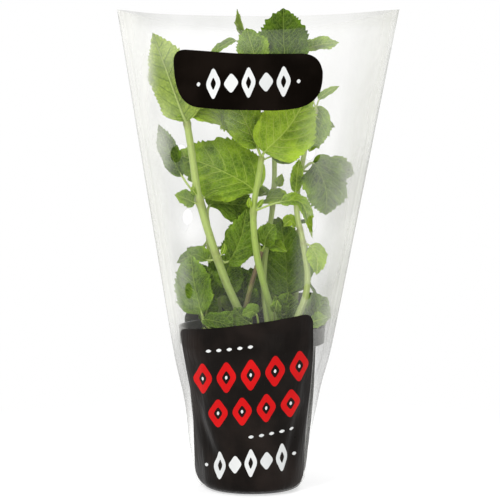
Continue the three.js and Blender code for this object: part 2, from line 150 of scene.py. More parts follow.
def tube_faces(rings: int, sides: int, first: int = 0) -> list[tuple[int, ...]]:
    """Faces of a closed tube whose rings of points follow each other.

    Args:
        rings: Number of rings.
        sides: Number of points in a ring.
        first: Number of the tube's first point.

    Returns:
        Four-sided faces along the tube and one flat face at each end.
    """
    ring, side = np.meshgrid(np.arange(rings - 1), np.arange(sides), indexing="ij")
    start = first + ring * sides
    after = (side + 1) % sides
    quads = np.stack([start + side, start + after, start + sides + after, start + sides + side], -1)
    faces = [tuple(quad) for quad in quads.reshape(-1, 4).tolist()]
    last = first + (rings - 1) * sides
    faces.append(tuple(range(first + sides - 1, first - 1, -1)))
    faces.append(tuple(range(last, last + sides)))
    return faces


class SmoothPath:
    """A centripetal Catmull-Rom curve through a row of points."""

    def __init__(self, points: Sequence[Sequence[float]]) -> None:
        """Adds a mirrored point beyond each end.

        Args:
            points: The points that the curve passes through.
        """
        inner = np.array(points, float)
        before = 2 * inner[0] - inner[1]
        beyond = 2 * inner[-1] - inner[-2]
        self.points = np.vstack([before, inner, beyond])

    def at(self, shares: np.ndarray | float) -> tuple[np.ndarray, np.ndarray]:
        """Places on the curve.

        Args:
            shares: Shares of the curve, from 0 to 1, with an equal share for every span.

        Returns:
            The points and the unit directions there.
        """
        spans = len(self.points) - 3
        place = np.clip(np.atleast_1d(shares), 0, 1) * spans
        span = np.minimum(place.astype(int), spans - 1)
        weight = (place - span)[:, None]
        a, b, c, d = (self.points[span + step] for step in range(4))
        gap_a, gap_b, gap_c = (
            np.sqrt(np.linalg.norm(q - p, axis=1, keepdims=True)) for p, q in ((a, b), (b, c), (c, d))
        )
        start = ((b - a) / gap_a - (c - a) / (gap_a + gap_b) + (c - b) / gap_b) * gap_b
        end = ((c - b) / gap_b - (d - b) / (gap_b + gap_c) + (d - c) / gap_c) * gap_b
        bend = 3 * (c - b) - 2 * start - end
        twist = 2 * (b - c) + start + end
        points = b + weight * (start + weight * (bend + weight * twist))
        directions = start + weight * (2 * bend + 3 * weight * twist)
        return points, unit(directions)

    def share_at(self, height: float) -> float:
        """Share of the curve at which it reaches a height.

        Args:
            height: The height.

        Returns:
            The share, which is 1 where the curve ends below the height.
        """
        shares = np.linspace(0, 1, 2001)
        heights = self.at(shares)[0][:, 2]
        return float(shares[np.argmax(heights >= height)]) if heights[-1] >= height else 1.0


class Draft:
    """A mesh put together part by part, in millimetres."""

    def __init__(self) -> None:
        """Starts with no points."""
        self.points: list[np.ndarray] = []
        self.faces: list[tuple[int, ...]] = []
        self.slots: list[int] = []
        self.values: dict[str, list[tuple[int, np.ndarray]]] = {}
        self.size = 0

    def add(
        self, points: np.ndarray, faces: Sequence[Sequence[int]], slot: int = 0, **values: np.ndarray
    ) -> None:
        """Adds a part.

        Args:
            points: The part's points, one a row.
            faces: Corner numbers of its faces, counted from the part's first point.
            slot: Number of its material slot.
            **values: Named values of three numbers for each point.
        """
        self.points.append(np.asarray(points, float))
        self.faces.extend(tuple(corner + self.size for corner in face) for face in faces)
        self.slots.extend([slot] * len(faces))
        for name, rows in values.items():
            self.values.setdefault(name, []).append((self.size, np.asarray(rows, float)))
        self.size += len(points)

    def add_tube(self, rings: np.ndarray, slot: int = 0, **values: np.ndarray) -> None:
        """Adds a closed tube of rings, given as an array of ring, side and coordinate."""
        count, sides = rings.shape[:2]
        self.add(rings.reshape(-1, 3), tube_faces(count, sides), slot, **values)

    def build(
        self, name: str, materials: Sequence[bpy.types.Material], crease: float = 50.0
    ) -> bpy.types.Object:
        """Makes the Blender object.

        Args:
            name: The piece's name.
            materials: Its materials, in the order of the slots.
            crease: Angle in degrees above which an edge stays sharp.

        Returns:
            The object, linked to the scene.
        """
        mesh = bpy.data.meshes.new(name)
        mesh.from_pydata((np.vstack(self.points) * MM).tolist(), [], self.faces)
        for material in materials:
            mesh.materials.append(material)
        mesh.polygons.foreach_set("material_index", self.slots)
        for value_name, parts in self.values.items():
            rows = np.zeros((self.size, 3))
            for start, part in parts:
                rows[start : start + len(part)] = part
            store(mesh, value_name, rows)
        face_outward(mesh)
        mesh.shade_smooth()
        mesh.set_sharp_from_angle(angle=math.radians(crease))
        return linked(name, mesh)


def face_outward(mesh: bpy.types.Mesh) -> None:
    """Turns the faces of every closed shell of a mesh outward.

    Args:
        mesh: The mesh, which is changed.
    """
    work = bmesh.new()
    work.from_mesh(mesh)
    bmesh.ops.recalc_face_normals(work, faces=work.faces)
    work.to_mesh(mesh)
    work.free()
    mesh.update()


def cut_away(piece: bpy.types.Object, punch: bpy.types.Object) -> None:
    """Cuts the shape of a punch out of a piece.

    Args:
        piece: The piece, which gets a new mesh.
        punch: The shape to cut out, which is removed.
    """
    cut = piece.modifiers.new("cut", "BOOLEAN")
    cut.operation = "DIFFERENCE"
    cut.solver = "EXACT"
    cut.object = punch
    graph = bpy.context.evaluated_depsgraph_get()
    cut_mesh = bpy.data.meshes.new_from_object(piece.evaluated_get(graph))
    piece.modifiers.clear()
    piece.data = cut_mesh
    bpy.data.objects.remove(punch)


def triangle_count(piece: bpy.types.Object) -> int:
    """Number of triangles in a piece's own mesh."""
    return sum(len(face.vertices) - 2 for face in piece.data.polygons)


def settle(piece: bpy.types.Object, slot: str, *nodes: str) -> None:
    """Puts a finished piece on the frame.

    Args:
        piece: The piece.
        slot: Not used.
        *nodes: The frame's nodes that it stands for.
    """
    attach(piece, BODY)
    if nodes:
        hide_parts(*nodes)
    LOG.info("%s: %d triangles", piece.name, triangle_count(piece))


class Paint:
    """A node material under construction."""

    def __init__(self, name: str) -> None:
        """Starts with one Principled shader.

        Args:
            name: The material's name.
        """
        self.material = bpy.data.materials.new(name)
        self.material.use_nodes = True
        self.tree = self.material.node_tree
        self.shader = self.tree.nodes["Principled BSDF"]

    def node(self, kind: str, **settings: object) -> bpy.types.Node:
        """Adds a node.

        Args:
            kind: Blender's name of the node's type.
            **settings: Properties of the node.

        Returns:
            The node.
        """
        made = self.tree.nodes.new(kind)
        for name, value in settings.items():
            setattr(made, name, value)
        return made

    def feed(self, socket: bpy.types.NodeSocket, value: Field | Sequence[float]) -> None:
        """Links a socket to another one, or sets it to a constant.

        Args:
            socket: The socket that takes the value.
            value: Another socket or a constant.
        """
        if isinstance(value, bpy.types.NodeSocket):
            self.tree.links.new(value, socket)
        else:
            socket.default_value = value

    def sum(self, operation: str, *terms: Field, clamp: bool = False) -> bpy.types.NodeSocket:
        """Does one sum.

        Args:
            operation: Blender's name of the operation.
            *terms: Up to three numbers.
            clamp: Whether the result is kept from 0 to 1.

        Returns:
            The result.
        """
        made = self.node("ShaderNodeMath", operation=operation, use_clamp=clamp)
        for socket, term in zip(made.inputs, terms):
            self.feed(socket, term)
        return made.outputs[0]

    def span(
        self, value: Field, low: float, high: float, start: float = 0.0, end: float = 1.0
    ) -> bpy.types.NodeSocket:
        """Smooth change of a value.

        Args:
            value: The value.
            low: Where the change starts.
            high: Where it ends.
            start: The result at low and below.
            end: The result at high and above.

        Returns:
            The result.
        """
        made = self.node("ShaderNodeMapRange", interpolation_type="SMOOTHSTEP")
        names = ("Value", "From Min", "From Max", "To Min", "To Max")
        for name, term in zip(names, (value, low, high, start, end)):
            self.feed(made.inputs[name], term)
        return made.outputs[0]

    def blend(
        self, share: Field, first: Colour | bpy.types.NodeSocket, second: Colour | bpy.types.NodeSocket
    ) -> bpy.types.NodeSocket:
        """Colour between two colours.

        Args:
            share: Share of the second colour.
            first: The first colour.
            second: The second colour.

        Returns:
            The colour.
        """
        made = self.node("ShaderNodeMix", data_type="RGBA")
        self.feed(made.inputs["Factor"], share)
        for name, colour in (("A", first), ("B", second)):
            socket = next(s for s in made.inputs if s.name == name and s.type == "RGBA")
            self.feed(socket, colour if isinstance(colour, bpy.types.NodeSocket) else (*colour, 1.0))
        return next(s for s in made.outputs if s.type == "RGBA")

    def value(self, name: str) -> list[bpy.types.NodeSocket]:
        """The three numbers of a mesh's named value."""
        return self.split(self.vector(name))

    def vector(self, name: str) -> bpy.types.NodeSocket:
        """A mesh's named value as a vector."""
        source = self.node("ShaderNodeAttribute", attribute_type="GEOMETRY", attribute_name=name)
        return source.outputs["Vector"]

    def split(self, vector: bpy.types.NodeSocket) -> list[bpy.types.NodeSocket]:
        """The three numbers of a vector.

        Args:
            vector: The vector.

        Returns:
            Its numbers.
        """
        made = self.node("ShaderNodeSeparateXYZ")
        self.feed(made.inputs[0], vector)
        return list(made.outputs)

    def place(self, stretch: Point = (1.0, 1.0, 1.0)) -> bpy.types.NodeSocket:
        """The point of the surface in the piece's own space.

        Args:
            stretch: Factors along X, Y and Z.

        Returns:
            The point, in millimetres times the factors.
        """
        where = self.node("ShaderNodeTexCoord")
        scaled = self.node("ShaderNodeMapping")
        self.feed(scaled.inputs["Vector"], where.outputs["Object"])
        self.feed(scaled.inputs["Scale"], tuple(factor / MM for factor in stretch))
        return scaled.outputs[0]

    def noise(
        self, where: bpy.types.NodeSocket, scale: float, detail: float = 3.0, rough: float = 0.5
    ) -> bpy.types.NodeSocket:
        """Soft random value.

        Args:
            where: The point.
            scale: Number of soft spots in a unit of the point's length.
            detail: How many finer layers are added.
            rough: Strength of each layer over the one before it.

        Returns:
            The value, from 0 to 1.
        """
        made = self.node("ShaderNodeTexNoise")
        self.feed(made.inputs["Vector"], where)
        self.feed(made.inputs["Scale"], scale)
        self.feed(made.inputs["Detail"], detail)
        self.feed(made.inputs["Roughness"], rough)
        return made.outputs[0]

    def cells(self, where: bpy.types.NodeSocket, scale: float) -> bpy.types.NodeSocket:
        """Distance to the nearest border of random cells.

        Args:
            where: The point.
            scale: Number of cells in a unit of the point's length.

        Returns:
            The distance, in cells.
        """
        made = self.node("ShaderNodeTexVoronoi", feature="DISTANCE_TO_EDGE")
        self.feed(made.inputs["Vector"], where)
        self.feed(made.inputs["Scale"], scale)
        return made.outputs["Distance"]

    def bump(
        self, height: Field, distance: float, strength: float = 1.0, under: Field | None = None
    ) -> bpy.types.NodeSocket:
        """Normal of a surface that is raised by a height.

        Args:
            height: The height, from 0 to 1.
            distance: How high 1 stands, in millimetres.
            strength: Share of the relief that shows.
            under: Normal of the coarser relief under this one.

        Returns:
            The normal.
        """
        made = self.node("ShaderNodeBump")
        self.feed(made.inputs["Height"], height)
        self.feed(made.inputs["Distance"], distance * MM)
        self.feed(made.inputs["Strength"], strength)
        if under is not None:
            self.feed(made.inputs["Normal"], under)
        return made.outputs[0]

    def finish(self, **inputs: Field | Sequence[float]) -> bpy.types.Material:
        """Sets the shader's sockets, named with underscores for spaces.

        Args:
            **inputs: A socket or a constant for each.

        Returns:
            The material.
        """
        for name, value in inputs.items():
            self.feed(self.shader.inputs[name.replace("_", " ")], value)
        return self.material


@dataclass(frozen=True)
class LeafFinish:
    """Living leaf: a blistered upper face with pale veins, and a paler underside with painted shadow along
    its raised veins. Its tone and its broad patches hold painted light and shade as well as its own colour.
    """

    deep: Colour = (0.036, 0.072, 0.006)
    middle: Colour = (0.116, 0.212, 0.010)
    fresh: Colour = (0.320, 0.480, 0.026)
    dim_vein: Colour = (0.170, 0.255, 0.040)
    # Painted shadow beside the raised veins of the underside.
    under_vein_shadow: Colour = (0.130, 0.205, 0.035)
    bright_vein: Colour = (0.490, 0.630, 0.100)
    under_deep: Colour = (0.130, 0.200, 0.045)
    under_fresh: Colour = (0.400, 0.520, 0.080)
    vein_half_width: float = 0.050
    rib_half_width: float = 0.62

    def material(self) -> bpy.types.Material:
        """Builds the leaf material.

        Returns:
            The material.
        """
        paint = Paint("mint_leaf")
        phase, reach, sideways = paint.value("vein_place")
        tone, underside, _ = paint.value("leaf_tone")
        flat = paint.vector("leaf_flat")
        wander = paint.sum("MULTIPLY_ADD", paint.noise(flat, 0.30), 0.26, -0.13)
        ramped = paint.sum("PINGPONG", paint.sum("ADD", phase, wander), 0.5)
        thinning = paint.sum("MULTIPLY_ADD", reach, -0.024, self.vein_half_width)
        side_vein = paint.span(paint.sum("DIVIDE", ramped, thinning), 0.5, 2.0, 1.0, 0.0)
        side_vein = paint.sum("MULTIPLY", side_vein, paint.span(reach, 0.45, 1.0, 0.9, 0.15))
        spread = paint.sum("ABSOLUTE", sideways)
        rib = paint.span(spread, self.rib_half_width * 0.4, self.rib_half_width, 1.0, 0.0)
        veins = paint.sum("MAXIMUM", side_vein, rib)
        borders = paint.cells(flat, 0.42)
        net = paint.span(borders, 0.015, 0.13, 1.0, 0.0)
        domes = paint.span(borders, 0.0, 0.30)
        # Mottle and broad patches: the leaf's own uneven colour together with painted light and shade from
        # light passing through and across the leaves.
        mottle_and_shade = paint.noise(flat, 0.16, 4.0, 0.6)
        light = paint.sum("MULTIPLY_ADD", mottle_and_shade, 1.1, -1.0)
        light = paint.sum("MULTIPLY_ADD", paint.noise(flat, 0.055, 2.0), 0.9, light)
        # The leaf's tone brings painted light and shade for where it sits, as well as its own colour.
        light = paint.sum("ADD", tone, light)
        light = paint.sum("MULTIPLY_ADD", ramped, -0.24, light)
        light = paint.sum("ADD", light, paint.span(reach, 0.45, 1.0, 0.0, 0.20), clamp=True)
        lower_half = paint.blend(paint.sum("MULTIPLY", light, 2.0, clamp=True), self.deep, self.middle)
        upper_half = paint.sum("MULTIPLY_ADD", light, 2.0, -1.0, clamp=True)
        upper = paint.blend(upper_half, lower_half, self.fresh)
        lower = paint.blend(light, self.under_deep, self.under_fresh)
        body = paint.blend(underside, upper, lower)
        vein_and_shadow_colour = paint.blend(tone, self.dim_vein, self.bright_vein)
        # On the underside the veins and the net of cell borders take a dark painted shadow, for the shade
        # beside raised veins.
        vein_and_shadow_colour = paint.blend(underside, vein_and_shadow_colour, self.under_vein_shadow)
        net_share = paint.sum("MULTIPLY_ADD", underside, 0.25, 0.30)
        netted = paint.blend(paint.sum("MULTIPLY", net, net_share), body, vein_and_shadow_colour)
        vein_share = paint.sum("MULTIPLY", veins, paint.span(tone, 0.2, 0.8, 0.45, 0.85))
        colour = paint.blend(vein_share, netted, vein_and_shadow_colour)
        fall = paint.sum("MULTIPLY_ADD", underside, 1.7, -1.0)
        relief = paint.sum("MULTIPLY", veins, fall)
        relief = paint.sum("MULTIPLY_ADD", domes, 0.55, relief)
        blister = paint.bump(relief, 0.35, 1.0)
        down = paint.bump(paint.noise(flat, 3.5, 2.0), 0.05, 0.4, blister)
        gloss = paint.span(mottle_and_shade, 0.3, 0.7, 0.40, 0.58)
        return paint.finish(
            Base_Color=colour, Roughness=gloss, Normal=down, Specular_IOR_Level=0.08
        )


@dataclass(frozen=True)
class StemFinish:
    """Square fresh stem with fine lines along it, flushed with purple where it is young, and some stems
    painted paler up their length, for painted light and the film's haze.
    """

    green: Colour = (0.320, 0.430, 0.080)
    foot: Colour = (0.190, 0.300, 0.045)
    pale: Colour = (0.460, 0.540, 0.200)
    flush: Colour = (0.150, 0.080, 0.050)
    lines_a_turn: float = 9.0

    def material(self) -> bpy.types.Material:
        """Builds the stem material.

        Returns:
            The material.
        """
        paint = Paint("mint_stem")
        height, flushed, turn = paint.value("stem_place")
        painted_paleness = paint.value("stem_tone")[0]
        where = paint.place()
        patches = paint.noise(where, 0.09, 4.0)
        base = paint.blend(paint.span(height, 0.1, 0.75), self.foot, self.green)
        # Painted light and haze: a stem is lifted toward the pale colour by its paleness, less near its foot.
        fading = paint.span(height, 0.05, 0.40, 0.35, 1.0)
        base = paint.blend(paint.sum("MULTIPLY", painted_paleness, fading), base, self.pale)
        share = paint.sum("MULTIPLY", flushed, paint.span(patches, 0.25, 0.6, 0.55, 1.0), clamp=True)
        speck = paint.span(paint.noise(where, 0.5, 2.0), 0.62, 0.72, 0.0, 0.35)
        colour = paint.blend(paint.sum("MAXIMUM", share, speck), base, self.flush)
        ridge = paint.sum("SINE", paint.sum("MULTIPLY", turn, 2 * math.pi * self.lines_a_turn))
        lined = paint.sum("MULTIPLY_ADD", ridge, 0.08, 0.08)
        colour = paint.blend(lined, colour, self.green)
        normal = paint.bump(ridge, 0.06, 0.5, paint.bump(paint.noise(where, 1.6), 0.08, 0.4))
        return paint.finish(
            Base_Color=colour, Roughness=0.48, Normal=normal, Specular_IOR_Level=0.4,
            Sheen_Weight=0.15,
        )


@dataclass(frozen=True)
class FilmFinish:
    """Clear film with a soft haze that is thicker towards its side seams, where it also stands for a painted
    grazing reflection. Its front above the pot and its glow spots take a milky painted-lit colour, and its
    back wall and its front beside the pot a grey painted-shade colour.
    """

    shade: Colour = (0.58, 0.58, 0.54)
    milky: Colour = (0.945, 0.945, 0.885)
    seam_inside: float = 4.6
    seam_width: float = 1.1
    # Share of extra milky haze that a painted highlight glow adds.
    highlight_share: float = 0.05

    def material(self) -> bpy.types.Material:
        """Builds the film material.

        Returns:
            The material.
        """
        paint = Paint("clear_film")
        edge, around, height = paint.value("bag_place")
        haze, glow, front = paint.value("bag_haze_and_glow")
        drawn = paint.node("ShaderNodeCombineXYZ")
        paint.feed(drawn.inputs[0], paint.sum("MULTIPLY", around, 15.0))
        paint.feed(drawn.inputs[1], paint.sum("MULTIPLY", height, 0.009))
        paint.feed(drawn.inputs[2], paint.sum("MULTIPLY", front, 9.0))
        streaks = paint.noise(drawn.outputs[0], 1.0, 4.0, 0.6)
        broad = paint.noise(drawn.outputs[0], 0.24, 2.0)
        clouds = paint.noise(paint.place((0.030, 0.030, 0.018)), 1.0, 2.0)
        beside = paint.sum("ABSOLUTE", paint.sum("SUBTRACT", edge, self.seam_inside))
        line = paint.span(beside, 0.2, self.seam_width, 1.0, 0.0)
        rim = paint.span(edge, 0.2, 1.4, 1.0, 0.0)
        marks = paint.sum("MAXIMUM", line, rim)
        cloudy = paint.span(clouds, 0.38, 0.64, 0.85, 1.12)
        banded = paint.span(broad, 0.36, 0.64, 0.92, 1.06)
        near_seam = paint.span(edge, 4.0, 22.0, 0.40, 0.08)
        streaky = paint.sum("MULTIPLY_ADD", paint.sum("SUBTRACT", streaks, 0.5), near_seam, 1.0)
        share = paint.sum("MULTIPLY", haze, cloudy)
        share = paint.sum("MULTIPLY", share, paint.sum("MULTIPLY", streaky, banded))
        share = paint.sum("MULTIPLY_ADD", marks, 0.06, share)
        # Glow spots add a painted highlight: more milky haze where the studio light would reflect.
        alpha = paint.sum("MULTIPLY_ADD", glow, self.highlight_share, share, clamp=True)
        # Lit and shaded copies of the film: the front wall above the pot and the glow spots take the milky
        # painted-lit colour, the back wall and the front beside the pot the painted shade colour.
        upper = paint.span(height, 90.0, 140.0, 0.10, 0.96)
        bright = paint.sum("MAXIMUM", glow, paint.sum("MULTIPLY", front, upper))
        bright = paint.sum("MULTIPLY", bright, paint.span(streaks, 0.3, 0.7, 0.9, 1.0))
        colour = paint.blend(bright, self.shade, self.milky)
        normal = paint.bump(streaks, 0.25, 0.3, paint.bump(clouds, 2.0, 0.25))
        return paint.finish(
            Base_Color=colour, Roughness=0.30, Alpha=alpha, Normal=normal, Specular_IOR_Level=0.6
        )


@dataclass(frozen=True)
class InkFinish:
    """Ink printed on the outside of the film, under its gloss, its tint drifting in soft clouds toward a
    second colour.
    """

    name: str
    colour: Colour
    cloud_tint: Colour
    roughness: float = 0.27
    shine: float = 0.06

    def material(self) -> bpy.types.Material:
        """Builds the ink material.

        Returns:
            The material.
        """
        paint = Paint(self.name)
        where = paint.place()
        clouds = paint.noise(where, 0.035, 3.0)
        grain = paint.noise(where, 1.4, 2.0)
        creases = paint.noise(paint.place((0.12, 0.12, 0.018)), 1.0, 4.0, 0.6)
        # On the black inks the lighter clouds are painted sheen of the film's gloss over the ink.
        tint = paint.blend(paint.span(clouds, 0.35, 0.7), self.colour, self.cloud_tint)
        normal = paint.bump(creases, 1.6, 0.5, paint.bump(grain, 0.03, 0.4))
        gloss = paint.span(clouds, 0.3, 0.7, self.roughness, self.roughness + 0.14)
        return paint.finish(
            Base_Color=tint, Roughness=gloss, Normal=normal, Specular_IOR_Level=self.shine
        )


@dataclass(frozen=True)
class PotFinish:
    """Thin black moulded plastic, dusty where it was handled."""

    black: Colour = (0.022, 0.021, 0.021)
    dust: Colour = (0.085, 0.080, 0.074)

    def material(self) -> bpy.types.Material:
        """Builds the pot material.

        Returns:
            The material.
        """
        paint = Paint("pot_plastic")
        where = paint.place()
        dusty = paint.span(paint.noise(where, 0.05, 5.0, 0.65), 0.45, 0.75, 0.0, 0.6)
        scuffs = paint.span(paint.noise(paint.place((0.3, 0.3, 1.6)), 1.0, 3.0), 0.6, 0.75, 0.0, 0.3)
        colour = paint.blend(paint.sum("MAXIMUM", dusty, scuffs), self.black, self.dust)
        normal = paint.bump(paint.noise(where, 1.8, 3.0), 0.06, 0.5)
        return paint.finish(
            Base_Color=colour, Roughness=paint.span(dusty, 0.0, 0.6, 0.42, 0.7), Normal=normal
        )


@dataclass(frozen=True)
class MixFinish:
    """Moist potting mix of peat, with paler bark and grit."""

    peat: Colour = (0.018, 0.012, 0.009)
    bark: Colour = (0.110, 0.062, 0.032)

    def material(self) -> bpy.types.Material:
        """Builds the potting mix material.

        Returns:
            The material.
        """
        paint = Paint("potting_mix")
        where = paint.place()
        coarse = paint.noise(where, 0.35, 5.0, 0.7)
        fibres = paint.noise(paint.place((0.25, 1.4, 1.0)), 1.0, 3.0)
        share = paint.span(paint.sum("MULTIPLY", coarse, fibres), 0.24, 0.40, 0.0, 0.85)
        colour = paint.blend(share, self.peat, self.bark)
        normal = paint.bump(coarse, 0.9, 0.9)
        return paint.finish(Base_Color=colour, Roughness=0.92, Normal=normal, Specular_IOR_Level=0.2)


@dataclass(frozen=True)
class Crease:
    """A shallow furrow pressed into a wall of the film between two places."""

    wall: Wall
    start: Flat
    end: Flat
    depth: float
    width: float

    def depth_at(self, across: np.ndarray, height: np.ndarray) -> np.ndarray:
        """Depth of the furrow at places on its wall.

        Args:
            across: Places along X.
            height: Their heights.

        Returns:
            The depths.
        """
        start, end = np.array(self.start), np.array(self.end)
        along = end - start
        places = np.stack([across, height], -1) - start
        share = np.clip(places @ along / (along @ along), 0, 1)
        distance = np.linalg.norm(places - share[..., None] * along, axis=-1)
        fade = np.sin(np.pi * np.clip(0.12 + 0.76 * share, 0, 1))
        return self.depth * fade * np.exp(-((distance / self.width) ** 2))


@dataclass
class FilmSleeve:
    """The clear film bag, welded along both sides, round over the pot and open at the top."""

    top: float = 349.0
    front_dip: float = 19.0
    corner: float = 8.0
    thickness: float = 0.22
    weld: float = 0.3
    left_seam: Flat = (41.6, 97.8)
    right_seam: Flat = (38.0, 106.6)
    left_pinches: tuple[Triple, ...] = ((62, 24, 2.3), (14, 12, 1.2))
    right_pinch: float = 2.2
    heights: tuple[float, ...] = (0.0, 30.0, 58.0, 106.0, 120.0, 349.0)
    half_widths: tuple[float, ...] = (37.7, 40.8, 45.0, 54.8, 54.8, 90.0)
    half_depths: tuple[float, ...] = (37.7, 41.6, 46.2, 54.8, 54.8, 78.0)
    band: float = 120.0
    tangent_steps: int = 12
    arc_steps: int = 30
    corner_steps: int = 6
    row_pitch: float = 2.0
    wall_rows: int = 56
    vent_half_height: float = 5.8
    vent_sides: int = 28
    vents: tuple[Triple, ...] = (
        (-53.5, 245.0, 4.0), (43.5, 245.0, 4.0), (-48.5, 196.5, 3.6), (41.5, 196.5, 3.6),
        (-45.0, 148.0, 2.7), (38.8, 148.0, 3.2),
    )
    # The back wall's veil at heights, which with the film's painted shade colour is painted shade, deepest at
    # the bottom and rising again along the top strip.
    veil_heights: tuple[float, ...] = (0.0, 110.0, 150.0, 200.0, 250.0, 300.0, 335.0, 342.0)
    back_veils: tuple[float, ...] = (0.46, 0.42, 0.35, 0.27, 0.20, 0.09, 0.05, 0.28)
    back_edge_veils: Flat = (0.16, 0.28)
    least_veil: float = 0.004
    # Rises of the front veil towards each seam, for both thicker haze and a painted grazing reflection:
    # start, end and size of each.
    left_veil: tuple[Triple, ...] = ((0.45, 0.60, 0.05), (0.74, 0.90, 0.42))
    right_veil: tuple[Triple, ...] = ((0.34, 0.60, 0.17), (0.66, 0.94, 0.30))
    # Painted highlight glows on the film: centre, half widths and strength of each spot.
    painted_highlights: tuple[Spot, ...] = (
        ((-30, 325), (46, 10), 0.9), ((58, 324), (24, 15), 1.0), ((-46, 188), (12, 14), 0.9),
        ((-62, 130), (12, 30), 0.8), ((60, 258), (12, 34), 0.5), ((48, 190), (6, 12), 0.5),
    )
    touching: tuple[Spot, ...] = (((-55, 288), (10, 22), 0.85), ((-38, 150), (12, 20), 0.3))
    misty: tuple[Spot, ...] = (
        ((-20, 268), (12, 9), 0.08), ((6, 322), (60, 9), 0.04), ((-30, 240), (10, 16), 0.04),
        ((-62, 314), (14, 14), 0.10), ((17, 222), (9, 22), 0.08), ((40, 260), (8, 14), 0.08),
        ((10, 136), (40, 24), 0.05), ((-68, 252), (11, 22), 0.62), ((-50, 158), (7, 20), 0.20),
        ((-76, 300), (7, 40), 0.55), ((62, 205), (14, 34), 0.34), ((-44, 140), (10, 8), 0.10),
    )
    creases: tuple[Crease, ...] = (
        Crease(Wall.FRONT, (-46, 78), (-30, 22), 2.2, 4.2),
        Crease(Wall.FRONT, (-36, 50), (-20, 14), 1.5, 3.6),
        Crease(Wall.FRONT, (-40, 96), (-38, 40), 1.3, 4.0),
        Crease(Wall.FRONT, (34, 62), (26, 12), 1.9, 4.0),
        Crease(Wall.FRONT, (40, 92), (36, 44), 1.3, 4.2),
        Crease(Wall.FRONT, (12, 96), (16, 40), 0.8, 5.0),
        Crease(Wall.FRONT, (-14, 70), (-4, 26), 0.9, 5.0),
        Crease(Wall.BACK, (-34, 84), (-24, 16), 1.9, 4.4),
        Crease(Wall.BACK, (30, 76), (20, 14), 1.7, 4.4),
        Crease(Wall.BACK, (2, 90), (6, 34), 1.1, 5.0),
    )
    film: FilmFinish = field(default_factory=FilmFinish)

    def seam(self, across: np.ndarray, height: np.ndarray) -> np.ndarray:
        """Half width of the bag at the seam on the side of a place, pinched in beside the pot.

        Args:
            across: Places along X, of which only the side counts.
            height: Their heights.

        Returns:
            The half widths.
        """
        height = np.asarray(height, float)
        share = height / self.top
        left = self.left_seam[0] + (self.left_seam[1] - self.left_seam[0]) * share
        right = self.right_seam[0] + (self.right_seam[1] - self.right_seam[0]) * share
        for level, spread, depth in self.left_pinches:
            left = left - depth * np.exp(-(((height - level) / spread) ** 2))
        right = right - self.right_pinch * ease(2, 20, height) * (1 - ease(70, 105, height))
        return np.where(np.asarray(across) < 0, left, right)

    def inset_at(self, height: np.ndarray) -> np.ndarray:
        """How far the rounded foot of the bag stands inside its straight wall."""
        drop = np.clip(self.corner - np.asarray(height), 0, self.corner)
        return self.corner - np.sqrt(self.corner**2 - drop**2)

    def section(self, across: np.ndarray, height: np.ndarray, inset: np.ndarray) -> tuple[np.ndarray, ...]:
        """The bag's section at a height.

        Args:
            across: Places along X, of which only the side counts.
            height: Heights.
            inset: How far inside the outer face the section lies.

        Returns:
            The seam's distance, the body's half width and half depth, and the angle at which the
            flat side meets the round body.
        """
        wide = np.interp(height, self.heights, self.half_widths) - inset
        seam = np.maximum(self.seam(across, height) - inset, wide + self.weld)
        deep = np.interp(height, self.heights, self.half_depths) - inset
        return seam, wide, deep, np.arccos(np.minimum(1.0, wide / seam))

    def edge_height(self, across: np.ndarray, wall: Wall) -> np.ndarray:
        """Height of the cut edge, level at the back and dipping in the middle of the front.

        Args:
            across: Places along X.
            wall: The wall.

        Returns:
            The heights.
        """
        if wall is Wall.BACK:
            return np.full(np.shape(across), self.top)
        seam = self.seam(across, np.full(np.shape(across), self.top))
        return self.top - self.front_dip * (1 - (np.asarray(across) / seam) ** 2)

    def relief(self, across: np.ndarray, height: np.ndarray, wall: Wall) -> np.ndarray:
        """How far a wall stands out of its plain shape: slack waves above, furrows below.

        Args:
            across: Places along X.
            height: Their heights.
            wall: The wall.

        Returns:
            The distances.
        """
        side = wall.value
        slack = ease(125, 230, height)
        waves = 0.55 * np.sin(0.085 * across + 0.021 * height + 1.3 * side)
        waves += 0.30 * np.sin(0.19 * across - 0.013 * height + 2.1 * side)
        loose = ease(6, 40, height) * (1 - ease(70, 104, height))
        ripples = 0.35 * np.sin(0.16 * across + 0.05 * height + side)
        pressed = sum(c.depth_at(across, height) for c in self.creases if c.wall is wall)
        pressed = pressed * ease(4, 16, height) * (1 - ease(96, 106, height))
        return slack * waves + loose * ripples - pressed

    def outward(self, points: np.ndarray, wall: Wall) -> np.ndarray:
        """Level directions that point out of a wall.

        Args:
            points: Places on the wall.
            wall: The wall.

        Returns:
            One unit direction for each place.
        """
        across, height = points[:, 0], points[:, 2]
        _, wide, deep, touch = self.section(across, height, np.zeros(len(points)))
        turn = np.maximum(np.arccos(np.clip(np.abs(across) / wide, 0, 1)), touch)
        level = [np.sign(across) * np.cos(turn) / wide, wall.value * np.sin(turn) / deep]
        return unit(np.stack([*level, np.zeros(len(points))], -1))

    def settled(self, points: np.ndarray, wall: Wall, proud: float = 0.0) -> np.ndarray:
        """Points of a plain wall moved to where the film really lies.

        Args:
            points: Places on the plain wall.
            wall: The wall.
            proud: How far the result stands out of the film's face.

        Returns:
            The moved points.
        """
        depth = self.relief(points[:, 0], points[:, 2], wall)
        seam = self.seam(points[:, 0], points[:, 2])
        welded = ease(3, 16, seam - np.abs(points[:, 0]))
        return points + self.outward(points, wall) * (depth * welded + proud)[:, None]

